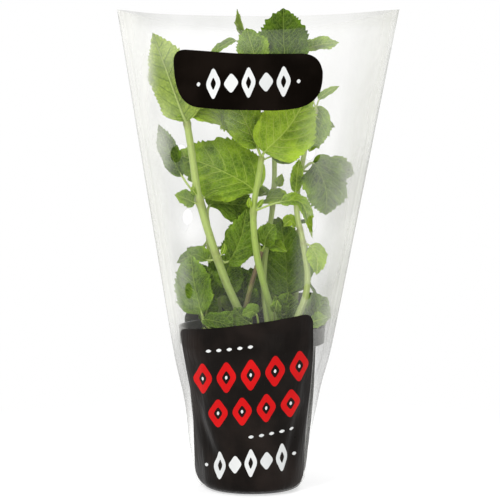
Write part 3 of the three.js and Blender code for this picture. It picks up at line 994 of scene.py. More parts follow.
    def on_wall(self, flat: np.ndarray, wall: Wall, proud: float) -> np.ndarray:
        """Places on a wall seen from straight ahead.

        Args:
            flat: Rows of X and height.
            wall: The wall.
            proud: How far the places stand out of the film's outer face.

        Returns:
            Points in space.
        """
        across, height = flat[:, 0], np.maximum(flat[:, 1], 0.0)
        seam, wide, deep, touch = self.section(across, height, self.inset_at(height))
        join = wide * np.cos(touch)
        round_part = deep * np.sqrt(np.clip(1 - (across / wide) ** 2, 0, 1))
        side_share = np.clip((seam - np.abs(across)) / np.maximum(seam - join, 1e-6), 0, 1)
        flat_part = deep * np.sin(touch) * side_share
        depth = np.where(np.abs(across) <= join, round_part, flat_part)
        points = np.stack([across, wall.value * depth, height], -1)
        return self.settled(points, wall, proud)

    def quarter(self, height_of: HeightOf, inset: float, side: int, wall: Wall) -> np.ndarray:
        """A quarter of a ring, from the seam to the middle of the wall.

        Args:
            height_of: Function that gives the height for places along X.
            inset: How far inside the outer face the ring lies.
            side: -1 for the left seam and 1 for the right one.
            wall: The wall.

        Returns:
            One point for each step on the flat side and the round body, the middle left out.
        """
        steps = self.tangent_steps + self.arc_steps
        place = np.arange(steps)
        across = np.full(steps, float(side))
        for _ in range(3):
            height = height_of(across, wall)
            seam, wide, deep, touch = self.section(across, height, np.full(steps, inset))
            along = np.clip((place - self.tangent_steps) / self.arc_steps, 0, 1)
            angle = touch + (math.pi / 2 - touch) * along
            flat = np.clip(place / self.tangent_steps, 0, 1)
            across = side * (seam + (wide * np.cos(angle) - seam) * flat)
            depth = wall.value * deep * np.sin(angle) * flat
        return self.settled(np.stack([across, depth, height], -1), wall)

    def middle(self, height_of: HeightOf, inset: float, wall: Wall) -> np.ndarray:
        """The point of a ring in the middle of a wall.

        Args:
            height_of: Function that gives the height for places along X.
            inset: How far inside the outer face the ring lies.
            wall: The wall.

        Returns:
            The point, as the one row of an array.
        """
        across = np.zeros(1)
        height = height_of(across, wall)
        deep = self.section(across, height, np.full(1, inset))[2]
        return self.settled(np.stack([across, wall.value * deep, height], -1), wall)

    def ring(self, height_of: HeightOf, inset: float) -> np.ndarray:
        """A ring of points round the bag, from the right seam by the back.

        Args:
            height_of: Function that gives the height for places along X.
            inset: How far inside the outer face the ring lies.

        Returns:
            The points, one a row.
        """
        parts = []
        for wall, sides in ((Wall.BACK, (1, -1)), (Wall.FRONT, (-1, 1))):
            near, far = (self.quarter(height_of, inset, side, wall) for side in sides)
            parts += [near, self.middle(height_of, inset, wall), far[:0:-1]]
        return np.vstack(parts)

    def level_ring(self, level: float, inset: float) -> np.ndarray:
        """A level ring of points round the bag."""
        return self.ring(lambda across, _: np.full(len(across), level), inset)

    def upper_ring(self, share: float, inset: float) -> np.ndarray:
        """A ring at a share of the way from the top of the pot's band to the cut edge."""
        low = self.band
        return self.ring(lambda across, wall: low + (self.edge_height(across, wall) - low) * share, inset)

    def skin(self, inset: float) -> list[np.ndarray]:
        """The rings of one face of the film, from its base to its cut edge.

        Args:
            inset: How far inside the outer face it lies.

        Returns:
            The rings, each with one point a row.
        """
        radius = self.corner - inset
        rings = []
        for step in range(self.corner_steps + 1):
            turn = math.pi / 2 * step / self.corner_steps
            level = self.corner - radius * math.cos(turn)
            rings.append(self.level_ring(level, self.corner - radius * math.sin(turn)))
        for level in np.arange(self.corner + self.row_pitch, self.band + 1e-6, self.row_pitch):
            rings.append(self.level_ring(level, inset))
        for row in range(1, self.wall_rows + 1):
            rings.append(self.upper_ring(row / self.wall_rows, inset))
        return rings

    def vent_punch(self) -> bpy.types.Object:
        """Oval prisms through both walls, one for each vent.

        Returns:
            The prisms, as one object.
        """
        draft = Draft()
        turns = turns_of(self.vent_sides)
        reach = 2 * self.half_depths[-1]
        for across, height, half_width in self.vents:
            level = height + self.vent_half_height * np.sin(turns)
            oval = np.stack([across + half_width * np.cos(turns), 0 * turns, level], -1)
            draft.add_tube(np.stack([oval - (0, reach, 0), oval + (0, reach, 0)]))
        return draft.build("vent_punch", [])

    def mark_places(self, mesh: bpy.types.Mesh) -> None:
        """Stores where each point of the film lies, how hazy it is there and how strongly a painted highlight
        glows there.

        Args:
            mesh: The film's mesh.
        """
        points = np.zeros(len(mesh.vertices) * 3, np.float32)
        mesh.vertices.foreach_get("co", points)
        across, depth, height = (points.reshape(-1, 3) / MM).T
        front = (depth < 0).astype(float)
        glow = spots_at(across, height, self.painted_highlights)
        veil = np.where(front > 0, self.front_veil(across, height), self.back_veil(across, height, glow))
        seam = self.seam(across, height)
        place = [seam - np.abs(across), across / seam, height]
        haze = [1 - np.sqrt(1 - veil), glow * front, front]
        for name, rows in (("bag_place", place), ("bag_haze_and_glow", haze)):
            store(mesh, name, np.stack(rows, -1))

    def above_pot(self, height: np.ndarray) -> np.ndarray:
        """Smooth step from 0 beside the pot to 1 above it."""
        return ease(90, 135, height)

    def front_veil(self, across: np.ndarray, height: np.ndarray) -> np.ndarray:
        """How much the front wall veils what is behind it: more at its sides, where it stands for both
        thicker haze and a painted grazing reflection, and in misty spots.

        Args:
            across: Places along X.
            height: Their heights.

        Returns:
            One value for each place, from 0 to 1.
        """
        share = np.abs(across) / self.seam(across, height)
        sides = np.where(across < 0, climb(share, self.left_veil), climb(share, self.right_veil))
        beside = 1 - self.above_pot(height)
        sides = sides * (1 - 0.5 * beside) * (1 - spots_at(across, height, self.touching))
        return self.least_veil + np.maximum(sides, spots_at(across, height, self.misty))

    def back_veil(self, across: np.ndarray, height: np.ndarray, glow: np.ndarray) -> np.ndarray:
        """How much the back wall veils what is behind it in its painted shade colour, more towards the bottom
        and at its edges above the pot: less under a painted highlight glow and over the back panel.

        Args:
            across: Places along X.
            height: Their heights.
            glow: Strength of the film's painted highlight glow there.

        Returns:
            One value for each place, from 0 to 1.
        """
        share = np.abs(across) / self.seam(across, height)
        veil = np.interp(height, self.veil_heights, self.back_veils) * (1 - 0.9 * glow)
        edge = np.where(across < 0, *self.back_edge_veils) * ease(0.66, 0.92, share)
        printed = (1 - ease(42, 50, np.abs(across))) * (1 - ease(134, 138, height))
        return (veil + edge * self.above_pot(height)) * (1 - 0.85 * printed)

    def build(self) -> bpy.types.Object:
        """Lofts the bag, punches its vents and dresses it.

        Returns:
            The finished sleeve.
        """
        rings = self.skin(0.0) + self.skin(self.thickness)[::-1]
        draft = Draft()
        draft.add_tube(np.stack(rings))
        sleeve = draft.build("film_sleeve", [self.film.material()], crease=70.0)
        cut_away(sleeve, self.vent_punch())
        self.mark_places(sleeve.data)
        settle(sleeve, "film", "sleeve")
        return sleeve


def rounded(corners: Sequence[Triple], pitch: float = 1.2) -> np.ndarray:
    """Closed outline with an arc in place of each corner.

    Args:
        corners: X, height and rounding length of each corner, in order.
        pitch: Distance between the outline's points.

    Returns:
        Rows of X and height.
    """
    points = []
    spots = np.array([corner[:2] for corner in corners], float)
    for number, (x, z, radius) in enumerate(corners):
        spot = np.array((x, z), float)
        before = unit(spots[number - 1] - spot) * radius
        after = unit(spots[(number + 1) % len(spots)] - spot) * radius
        steps = max(2, round(1.6 * radius / pitch))
        share = np.linspace(0, 1, steps + 1)[:, None]
        curve = (1 - share) ** 2 * (spot + before) + 2 * share * (1 - share) * spot
        points.append(curve + share**2 * (spot + after))
    bare = np.vstack(points)
    filled = []
    for start, end in zip(bare, np.roll(bare, -1, axis=0)):
        steps = max(1, round(float(np.linalg.norm(end - start)) / pitch))
        filled += [start + (end - start) * step / steps for step in range(steps)]
    return np.array(filled)


@dataclass(frozen=True)
class PrintedPatch:
    """A printed area: its outline on a wall of the sleeve and how proud its ink stands."""

    wall: Wall
    outline: np.ndarray
    hole: np.ndarray | None = None
    proud: float = 0.14
    ink_thickness: float = 0.05
    pitch: float = 1.3

    def build(self, sleeve: FilmSleeve, draft: Draft) -> None:
        """Adds the area to a draft as a thin closed layer that follows the film.

        Args:
            sleeve: The sleeve that it is printed on.
            draft: The draft.
        """
        loops = [self.outline] if self.hole is None else [self.outline, self.hole]
        border = np.vstack(loops)
        edges = []
        first = 0
        for loop in loops:
            edges += [(first + n, first + (n + 1) % len(loop)) for n in range(len(loop))]
            first += len(loop)
        low, high = border.min(0), border.max(0)
        columns, rows = (np.arange(low[axis], high[axis], self.pitch) for axis in (0, 1))
        inner = np.stack(np.meshgrid(columns, rows), -1).reshape(-1, 2)
        gap = np.min(np.linalg.norm(inner[:, None] - border[None], axis=2), axis=1)
        inner = inner[(gap > 0.6 * self.pitch) & self.holds(inner)]
        spots = [Vector(p) for p in np.vstack([border, inner]).tolist()]
        result = delaunay_2d_cdt(spots, edges, [], 1, 1e-6)
        flat = np.array([tuple(p) for p in result[0]])
        faces = [f for f in result[2] if self.holds(flat[list(f)].mean(0)[None])[0]]
        upper = sleeve.on_wall(flat, self.wall, self.proud)
        lower = sleeve.on_wall(flat, self.wall, self.proud - self.ink_thickness)
        count = len(flat)
        sides = rim_edges(faces)
        closing = [(b, a, a + count, b + count) for a, b in sides]
        under = [tuple(corner + count for corner in reversed(face)) for face in faces]
        draft.add(np.vstack([upper, lower]), [*map(tuple, faces), *under, *closing])

    def holds(self, places: np.ndarray) -> np.ndarray:
        """Whether places lie inside the outline and outside the hole."""
        inside = within(places, self.outline)
        return inside if self.hole is None else inside & ~within(places, self.hole)


def within(places: np.ndarray, loop: np.ndarray) -> np.ndarray:
    """Whether flat places lie inside a closed loop.

    Args:
        places: Rows of X and height.
        loop: The loop's corners, in order.

    Returns:
        One answer for each place.
    """
    x, z = places[:, 0:1], places[:, 1:2]
    x0, z0 = loop.T
    x1, z1 = np.roll(loop, -1, axis=0).T
    crosses = (z0 > z) != (z1 > z)
    level = np.where(crosses, (x1 - x0) * (z - z0) / np.where(z1 == z0, 1.0, z1 - z0) + x0, -np.inf)
    return (np.sum(crosses & (x < level), axis=1) % 2).astype(bool)


def rim_edges(faces: Sequence[Sequence[int]]) -> list[tuple[int, int]]:
    """Directed edges that belong to one face only."""
    directed = {(face[n - 1], face[n]) for face in faces for n in range(len(face))}
    return sorted(edge for edge in directed if (edge[1], edge[0]) not in directed)


@dataclass
class PrintedPanels:
    """The dark printed areas of the sleeve and their plain ornament."""

    sleeve: FilmSleeve
    label: tuple[Triple, ...] = (
        (-54.6, 318.2, 10), (-6, 313.8, 16), (47.4, 314.6, 14), (49.6, 294, 10), (42.5, 279.5, 12),
        (22, 275.2, 10), (-22, 276, 10), (-46.5, 278.6, 10), (-53.4, 294, 9),
    )
    panel: tuple[Triple, ...] = (
        (-52.3, 119.0, 5), (43.4, 132.6, 9), (43.6, 88, 20), (38.4, 46, 16), (37.4, 3.6, 11),
        (-41.6, 2.6, 14), (-43.0, 64, 12),
    )
    back_panel: tuple[Triple, ...] = (
        (-50.6, 126.5, 6), (49.6, 141, 8), (45.4, 64, 20), (38, 3.2, 12), (-38, 3.2, 12), (-45.4, 64, 20),
    )
    tilt: float = 0.14
    panel_proud: float = 0.16
    mark_proud: float = 0.24
    lozenge_pitch: float = 17.2
    lozenge_rows: tuple[tuple[Flat, int, float], ...] = (((-1.0, 90.0), 5, 13.0), ((1.5, 64.0), 4, 12.0))
    # The black inks' lighter second tint is painted sheen.
    black: InkFinish = InkFinish("black_ink", (0.0055, 0.0040, 0.0032), (0.0150, 0.0105, 0.0085))
    label_black: InkFinish = InkFinish(
        "label_ink", (0.0034, 0.0024, 0.0017), (0.0080, 0.0056, 0.0042), 0.34, 0.004
    )
    red: InkFinish = InkFinish("red_ink", (0.520, 0.0050, 0.0060), (0.620, 0.0085, 0.0085), 0.42)
    white: InkFinish = InkFinish("white_ink", (0.690, 0.700, 0.690), (0.610, 0.625, 0.620), 0.45)

    def lozenge(self, centre: Flat, half_width: float, half_height: float, soft: float = 0.28) -> np.ndarray:
        """Outline of a lozenge with softened corners, tilted with the printing.

        Args:
            centre: X and height of its centre.
            half_width: Half its width.
            half_height: Half its height.
            soft: Rounding of its corners, as a share of its side.

        Returns:
            Rows of X and height.
        """
        x, z = centre
        corners = [(half_width, 0), (0, half_height), (-half_width, 0), (0, -half_height)]
        rounding = soft * math.hypot(half_width, half_height)
        return rounded([(x + u, z + v + self.tilt * u, rounding) for u, v in corners], 0.8)

    def chain(self, middle: Flat, pitch: float, tall: float, tilt: float) -> list[Mark]:
        """A row of five lozenges, tall and open by turns, with a dot at each end.

        Args:
            middle: X and height of the row's middle.
            pitch: Distance between the lozenges.
            tall: Half the height of the tall ones.
            tilt: Rise of the row along X.

        Returns:
            The marks.
        """
        marks = []
        for step in range(-2, 3):
            centre = (middle[0] + pitch * step, middle[1] + tilt * pitch * step)
            open_one = step % 2 == 0
            half_height = tall if open_one else 0.62 * tall
            hole = self.lozenge(centre, 0.17 * pitch, 0.40 * tall) if open_one else None
            marks.append((self.lozenge(centre, 0.46 * pitch, half_height), hole))
        for step in (-2.85, 2.85):
            centre = (middle[0] + pitch * step, middle[1] + tilt * pitch * step)
            marks.append((self.lozenge(centre, 0.14 * pitch, 0.16 * pitch, 0.5), None))
        return marks

    def row(self, middle: Flat, pitch: float, count: int, half_size: Flat) -> list[Mark]:
        """A tilted row of small solid lozenges.

        Args:
            middle: X and height of the row's middle.
            pitch: Distance between the lozenges.
            count: Number of lozenges.
            half_size: Half the width and half the height of one.

        Returns:
            The marks.
        """
        marks = []
        for step in range(count):
            across = middle[0] + pitch * (step - (count - 1) / 2)
            level = middle[1] + self.tilt * (across - middle[0])
            marks.append((self.lozenge((across, level), *half_size, 0.4), None))
        return marks

    def panel_marks(self) -> tuple[list[Mark], list[Mark]]:
        """Red and white ornament of the lower panel.

        Returns:
            The red marks and the white marks.
        """
        red, white = [], []
        for (middle, height), count, half_height in self.lozenge_rows:
            for step in range(count):
                across = middle + self.lozenge_pitch * (step - (count - 1) / 2)
                centre = (across, height + self.tilt * across)
                hole = self.lozenge(centre, 3.4, half_height * 0.42)
                red.append((self.lozenge(centre, 8.0, half_height), hole))
                white.append((self.lozenge(centre, 1.2, 1.9, 0.5), None))
        for middle in ((-16.0, 108.0), (14.0, 46.5)):
            white += self.row(middle, 7.4, 5, (2.4, 1.5))
        white += self.chain((-1.0, 25.0), 11.2, 12.0, self.tilt)
        return red, white

    def layer(self, name: str, ink: InkFinish, wall: Wall, marks: Sequence[Mark], proud: float) -> None:
        """Prints outlines in one ink as one piece.

        Args:
            name: The piece's name.
            ink: The ink.
            wall: The wall that carries them.
            marks: Pairs of an outline and a hole, which may be None.
            proud: How far the ink stands out of the film.
        """
        draft = Draft()
        for outline, hole in marks:
            PrintedPatch(wall, outline, hole, proud).build(self.sleeve, draft)
        settle(draft.build(name, [ink.material()], crease=60.0), "film")

    def build(self) -> None:
        """Prints the panels and their ornament."""
        for name, ink, wall, corners in (
            ("label_panel", self.label_black, Wall.FRONT, self.label),
            ("pot_panel", self.black, Wall.FRONT, self.panel),
            ("back_panel", self.black, Wall.BACK, self.back_panel),
        ):
            self.layer(name, ink, wall, [(rounded(corners), None)], self.panel_proud)
        red, white = self.panel_marks()
        label = self.chain((-2.5, 294.5), 12.0, 12.0, 0.03)
        for name, ink, marks in (
            ("panel_red_lozenges", self.red, red),
            ("panel_white_marks", self.white, white),
            ("label_white_marks", self.white, label),
        ):
            self.layer(name, ink, Wall.FRONT, marks, self.mark_proud)


@dataclass
class NurseryPot:
    """The thin black pot: a deep rim with a rolled lip, a ribbed wall and a stepped foot."""

    stand: float = 0.9
    wall: float = 1.2
    height: float = 118.6
    rim_radius: float = 53.7
    rim_height: float = 13.0
    neck_radius: float = 46.4
    heel_radius: float = 36.5
    sides: int = 144
    ribs: int = 24
    drain_holes: int = 6
    drain_radius: float = 4.0
    drain_ring: float = 21.0
    drain_sides: int = 32
    rib_height: float = 0.28
    finish: PotFinish = field(default_factory=PotFinish)

    def profile(self) -> list[Triple]:
        """The wall's closed outline, outer face first.

        Returns:
            Rows of radius, height and how strongly the ribs show there.
        """
        low = self.height - self.rim_height
        rim, neck, heel, wall = self.rim_radius, self.neck_radius, self.heel_radius, self.wall
        outer = [(0.01, 1.4, 0), (18, 1.4, 0), (27, 1.2, 0), (29, 0, 0), (33, 0, 0), (35, 1.1, 0)]
        outer += [(heel, 3.6, 0), (heel + 0.5, 9, 0.3), (heel + 1.6, 20, 1), (neck - 0.9, low - 6, 1)]
        outer += [(neck - 0.2, low - 1.2, 0), (neck + 0.8, low - 0.2, 0), (rim - 2.2, low, 0)]
        outer += [(rim - 1.1, low + 0.5, 0), (rim - 0.8, low + 1.6, 0), (rim - 0.4, self.height - 2.2, 0)]
        outer += [(rim, self.height - 1.2, 0), (rim - 0.1, self.height - 0.3, 0), (rim - 0.7, self.height, 0)]
        inner = [(rim - 1.3, self.height - 0.3, 0), (rim - 1.5, self.height - 2, 0)]
        inner += [(rim - 2.1, low + 2.2, 0), (rim - 3, low + wall, 0), (neck + 0.2, low + wall, 0)]
        inner += [(neck - 1.2, low - 0.6, 0), (neck - wall - 0.9, low - 6, 1), (heel + 1.6 - wall, 20, 1)]
        inner += [(heel - wall, 4.4, 0), (34, 2.5, 0), (29, 1.6, 0), (18, 2.6, 0), (0.01, 2.6, 0)]
        return outer + inner

    def drain_punch(self) -> bpy.types.Object:
        """Round pins through the pot's base, one for each drain hole.

        Returns:
            The pins, as one object.
        """
        draft = Draft()
        turns = turns_of(self.drain_sides)
        for place in turns_of(self.drain_holes):
            across = self.drain_ring * math.cos(place) + self.drain_radius * np.cos(turns)
            depth = self.drain_ring * math.sin(place) + self.drain_radius * np.sin(turns)
            ends = [np.stack([across, depth, np.full(len(turns), level)], -1) for level in (-4.0, 9.0)]
            draft.add_tube(np.stack(ends))
        return draft.build("drain_punch", [])

    def build(self) -> bpy.types.Object:
        """Turns the pot, cuts its drain holes and dresses it.

        Returns:
            The pot.
        """
        turns = turns_of(self.sides)
        rings = []
        for radius, height, ribbed in self.profile():
            reach = radius + self.rib_height * ribbed * np.cos(self.ribs * turns)
            level = np.full(self.sides, height + self.stand)
            rings.append(np.stack([reach * np.cos(turns), reach * np.sin(turns), level], -1))
        draft = Draft()
        draft.add_tube(np.stack(rings))
        pot = draft.build("nursery_pot", [self.finish.material()], crease=40.0)
        cut_away(pot, self.drain_punch())
        settle(pot, "pot_plastic", "pot")
        return pot


@dataclass
class PottingMix:
    """The mix in the pot: a crumbly heap with bits of bark on it."""

    top: float = 104.0
    radius: float = 44.2
    foot_radius: float = 33.0
    bottom: float = 4.2
    heel: float = 7.5
    rings: int = 46
    sides: int = 150
    crumbs: int = 420
    crumb_rings: int = 6
    crumb_sides: int = 8
    crumb_lift: float = 0.3
    seed: int = 11
    finish: MixFinish = field(default_factory=MixFinish)

    def height_at(self, across: np.ndarray, depth: np.ndarray) -> np.ndarray:
        """Height of the mix's uneven top.

        Args:
            across: Places along X.
            depth: Their places along Y.

        Returns:
            The heights.
        """
        level = self.top + 1.3 * np.sin(0.31 * across + 1) * np.cos(0.27 * depth)
        level += 0.7 * np.sin(0.83 * across + 0.4 * depth) * np.cos(0.71 * depth - 0.3 * across)
        return level + 0.35 * np.sin(1.9 * across - 1.3 * depth) * np.sin(2.3 * depth + across)

    def heap(self, draft: Draft) -> None:
        """Adds the body of the mix.

        Args:
            draft: The draft.
        """
        turns = turns_of(self.sides)
        foot = [(0.5, self.bottom), (self.foot_radius - 3, self.bottom), (self.foot_radius, self.heel)]
        rings = []
        for radius, level in foot:
            rings.append([radius * np.cos(turns), radius * np.sin(turns), np.full(self.sides, level)])
        for step in range(self.rings):
            radius = self.radius * (1 - step / self.rings)
            across, depth = radius * np.cos(turns), radius * np.sin(turns)
            rings.append([across, depth, self.height_at(across, depth)])
        draft.add_tube(np.stack([np.stack(ring, -1) for ring in rings]))

    def crumb(self, draft: Draft, rng: np.random.Generator) -> None:
        """Adds one bit of bark or peat, half sunk in the heap.

        Args:
            draft: The draft.
            rng: The source of its random size and place.
        """
        reach = (self.radius - 2.5) * math.sqrt(rng.random())
        turn = rng.random() * 2 * math.pi
        across, depth = reach * math.cos(turn), reach * math.sin(turn)
        size = rng.uniform(0.5, 1.7)
        spin = rng.random() * math.pi
        flatness = rng.uniform(0.35, 0.8)
        longness = rng.uniform(1.0, 2.2)
        tilt = np.linspace(0.15, math.pi - 0.15, self.crumb_rings)[:, None]
        angle = turns_of(self.crumb_sides)
        swell = size * rng.uniform(0.8, 1.2, (self.crumb_rings, self.crumb_sides))
        far = longness * swell * np.sin(tilt) * np.cos(angle)
        wide = swell * np.sin(tilt) * np.sin(angle)
        level = self.height_at(across, depth) + flatness * swell * np.cos(tilt) + self.crumb_lift
        shape = [
            across + far * math.cos(spin) - wide * math.sin(spin),
            depth + far * math.sin(spin) + wide * math.cos(spin),
            level,
        ]
        draft.add_tube(np.stack(shape, -1))

    def build(self) -> bpy.types.Object:
        """Heaps the mix, scatters its bits and dresses it.

        Returns:
            The mix.
        """
        rng = np.random.default_rng(self.seed)
        draft = Draft()
        self.heap(draft)
        for _ in range(self.crumbs):
            self.crumb(draft, rng)
        mix = draft.build("potting_mix_heap", [self.finish.material()], crease=60.0)
        settle(mix, "potting_mix", "potting_mix")
        return mix


@dataclass(frozen=True)
class Leaf:
    """One leaf of the plan.

    Attributes:
        node: Height of its node on the stem.
        neck: Where the stalk ends and the blade begins.
        middle: The middle of the blade.
        tip: The tip of the blade.
        width: Full width of the blade.
        face: The way that its upper face looks.
        tone: How light the leaf is coloured, from 0 to 1: its own colour, from old and dark to fresh and
            bright, together with painted light and shade for where it sits among the other leaves.
    """

    node: float
    neck: Point
    middle: Point
    tip: Point
    width: float
    face: Point
    tone: float


@dataclass
class LeafyStem:
    """A square stem with its stalked, toothed and blistered leaves."""

    name: str
    base_radius: float
    top_radius: float
    path: tuple[Point, ...]
    leaves: tuple[Leaf, ...]
    sprigs: tuple[Leaf, ...] = ()
    habit: Habit = Habit.GREEN
    # How far the stem is painted paler, for painted light and the film's haze.
    painted_paleness: float = 0.0
    root_depth: float = 15.0
    stem_sides: int = 24
    stem_pitch: float = 1.4
    squareness: float = 0.065
    stalk_radius: float = 0.95
    stalk_sides: int = 10
    blade_start: float = 1 / 3
    half_thickness: float = 0.17
    fold: float = 0.2
    edge_sweep: float = 0.14
    tooth_depth: float = 0.046
    tooth_limit: float = 1.3
    tooth_pitch: float = 3.3
    tooth_hook: float = 0.7
    lobes: float = 2.7
    lobe_depth: float = 0.035
    side_veins: float = 7.2
    vein_slope: float = 0.72
    vein_bend: float = 0.30
    puff_share: float = 0.038
    puff_limit: float = 1.15
    quilt_height: float = 0.14
    blade_row_pitch: float = 0.5
    blade_column_pitch: float = 1.7
    wave_height: float = 0.05
    waves: float = 1.6
    ripples: float = 4.6
    least_half_width: float = 0.3
    golden_angle: float = 2.4
    edge_phase: float = 1.7

    def curve(self) -> SmoothPath:
        """The stem's path from its foot in the mix, carried on from its first stretch.

        Returns:
            The path.
        """
        first, second = np.array(self.path[0], float), np.array(self.path[1], float)
        foot = first + (second - first) * (-self.root_depth / (second[2] - first[2]))
        return SmoothPath([tuple(foot), *self.path])

    def stem_tone(self, count: int) -> np.ndarray:
        """The paleness of the stem, once for each of its points."""
        return np.tile((self.painted_paleness, 0.0, 0.0), (count, 1))

    def add_stem(self, draft: Draft) -> None:
        """Adds the square stem, swollen at its nodes and rounded off at its top.

        Args:
            draft: The draft.
        """
        curve = self.curve()
        length = float(np.sum(np.linalg.norm(np.diff(np.array(self.path), axis=0), axis=1)))
        steps = round((length + self.root_depth) / self.stem_pitch)
        shares = np.linspace(0, 1, steps + 1)
        centres, forward = curve.at(shares)
        side = unit(np.cross((0.0, 1.0, 0.0), forward))
        front = np.cross(forward, side)
        radius = self.base_radius + (self.top_radius - self.base_radius) * shares
        for height in sorted({leaf.node for leaf in self.leaves}):
            radius = radius * (1 + 0.12 * np.exp(-(((centres[:, 2] - height) / 2.4) ** 2)))
        radius = radius * (1 + 0.03 * np.sin(0.19 * centres[:, 2] + self.base_radius * 5))
        end = np.clip((1 - shares) * (length / self.top_radius) / 1.2, 0, 1)
        radius = radius * np.sqrt(1 - (1 - end) ** 2 * 0.93)
        turns = turns_of(self.stem_sides)
        square = 1 + self.squareness * np.cos(4 * turns) + 0.02 * np.cos(8 * turns)
        reach = radius[:, None] * square[None, :]
        rings = centres[:, None] + reach[..., None] * (
            side[:, None] * np.cos(turns)[None, :, None] + front[:, None] * np.sin(turns)[None, :, None]
        )
        share_up = np.repeat(shares, self.stem_sides)
        flushed = np.full(share_up.shape, self.habit.value)
        for height in {leaf.node for leaf in self.leaves}:
            near = 0.35 * np.exp(-(((centres[:, 2] - height) / 2.2) ** 2))
            flushed = np.maximum(flushed, np.repeat(near, self.stem_sides))
        around = np.tile(turns / (2 * math.pi), len(shares))
        place = np.stack([share_up, flushed, around], -1)
        draft.add_tube(rings, 1, stem_place=place, stem_tone=self.stem_tone(len(place)))

    def blade_frame(self, spine: SmoothPath, shares: np.ndarray, face: Point) -> tuple[np.ndarray, ...]:
        """Places and directions along a leaf's spine.

        Args:
            spine: The spine.
            shares: Shares of its length.
            face: The way that the leaf's upper face looks.

        Returns:
            The centres, and the directions forward, up and to the right.
        """
        centres, forward = spine.at(shares)
        toward = np.array(face, float)
        up = unit(toward - (forward @ toward)[:, None] * forward)
        return centres, forward, up, np.cross(forward, up)

    def outline(self, along: np.ndarray) -> np.ndarray:
        """Share of a blade's full half width along its length, broad near the neck."""
        arch = np.sin(math.pi * np.clip(along, 0, 1) ** 0.72)
        return np.maximum(arch, 0) ** (0.62 + 0.22 * along**4)

    def teeth_at(self, along: np.ndarray, across: np.ndarray, count: int, seed: float) -> np.ndarray:
        """How far the margin's teeth stand out, from -0.5 in a notch to about 0.9 on a tip.

        Args:
            along: Shares of the blade's length, one a row.
            across: Places across the blade, one a column, of which only the side counts.
            count: Number of teeth on a side.
            seed: The leaf's own number.

        Returns:
            One value for each row and column.
        """
        side = 2.3 * (across > 0)[None, :]
        place = along[:, None]
        drift = 0.55 * np.sin(9.1 * place + seed + side) + 0.3 * np.sin(23 * place - seed + side)
        place = place * count + drift
        number = np.floor(place)
        step = place - number
        size = 0.55 + 0.8 * np.modf(np.abs(43.7 * np.sin(12.9 * number + 3.1 * seed + side)))[0]
        rise = ease(0.0, 0.74, step) * (1 - ease(0.74, 1.0, step))
        return size * rise - 0.35

    def half_width(self, leaf: Leaf, along: np.ndarray) -> np.ndarray:
        """Half width of a blade without its teeth, at shares of its length."""
        least = np.maximum(self.stalk_radius * (1 - along), self.least_half_width)
        return np.maximum(least, leaf.width / 2 * self.outline(along))

    def lift_at(self, leaf: Leaf, along: np.ndarray, size: np.ndarray, phase: np.ndarray) -> np.ndarray:
        """How far a blade rises from its spine: folded up along its rib and wavy at its margin.

        Args:
            leaf: The leaf.
            along: Shares of the blade's length, one a row.
            size: Shares of its half width, one a column.
            phase: Where the waves start, one a column.

        Returns:
            One height for each row and column.
        """
        wave = np.sin(2 * math.pi * self.waves * along + phase)
        ripple = np.sin(2 * math.pi * self.ripples * along + 1.7 * phase)
        waviness = wave * size**1.5 + 0.5 * ripple * size**3
        folded = self.fold * self.half_width(leaf, along) * size * (1.22 - 0.32 * size**2)
        return folded + self.wave_height * leaf.width * self.outline(along) * waviness

    def puff_at(self, leaf: Leaf, along: np.ndarray, size: np.ndarray, phase: np.ndarray) -> np.ndarray:
        """How far a blade puffs up between its side veins.

        Args:
            leaf: The leaf.
            along: Shares of the blade's length, one a row.
            size: Shares of its half width, one a column.
            phase: Place among the side veins for each row and column, whole on a vein.

        Returns:
            One height for each row and column.
        """
        highest = min(self.puff_share * leaf.width, self.puff_limit)
        puff = np.abs(np.sin(math.pi * phase)) ** 0.7 * ease(0.02, 0.3, size) * (1 - 0.7 * size**2)
        return puff * highest * np.minimum(1, 2 * self.outline(along))

    def add_blade(self, draft: Draft, leaf: Leaf, number: int, spine: SmoothPath) -> None:
        """Adds a leaf's blade as a thin closed sheet.

        Args:
            draft: The draft.
            leaf: The leaf.
            number: Its number on the stem.
            spine: Its spine, from the stem to the tip.
        """
        neck, middle, tip = (np.array(p, float) for p in (leaf.neck, leaf.middle, leaf.tip))
        length = float(np.linalg.norm(neck - middle) + np.linalg.norm(middle - tip))
        rows = int(np.clip(round(length / self.blade_row_pitch), 26, 100))
        half = int(np.clip(round(leaf.width / self.blade_column_pitch), 5, 16))
        along = np.linspace(0, 1, rows + 1)
        centres, forward, up, right = self.blade_frame(
            spine, self.blade_start + (1 - self.blade_start) * along, leaf.face
        )
        reach = np.concatenate([np.linspace(0, 0.94, half), [1.0]])
        across = np.concatenate([-reach[:0:-1], reach])
        size = np.abs(across)[None, :]
        sign = np.sign(across)[None, :]
        seed = number * self.golden_angle + self.base_radius
        count = max(4, round(length / self.tooth_pitch))
        depth = min(self.tooth_depth * leaf.width, self.tooth_limit)
        depth = depth * np.minimum(1, 2.6 * self.outline(along))[:, None]
        teeth = depth * self.teeth_at(along, across, count, seed) * size**7
        phase = self.golden_angle * (number + self.edge_phase * (across > 0))
        lobes = np.sin(2 * math.pi * self.lobes * along[:, None] + 1.3 * phase[None, :])
        lobes = 1 + self.lobe_depth * lobes * size
        sideways = sign * (self.half_width(leaf, along)[:, None] * size * lobes + teeth)
        rib_place = length * along[:, None] ** 0.9
        spread = np.abs(sideways)
        bent = rib_place - self.vein_slope * spread - self.vein_bend * spread**2 / (leaf.width / 2)
        vein_phase = bent * self.side_veins / length + 0.5 * (sign > 0)
        puff = self.puff_at(leaf, along[:, None], size, vein_phase)
        quilt = np.sin(2.2 * rib_place + seed) * np.sin(1.9 * sideways + 2 * seed)
        puff = puff + self.quilt_height * quilt * ease(0.05, 0.3, size) * (1 - size**2)
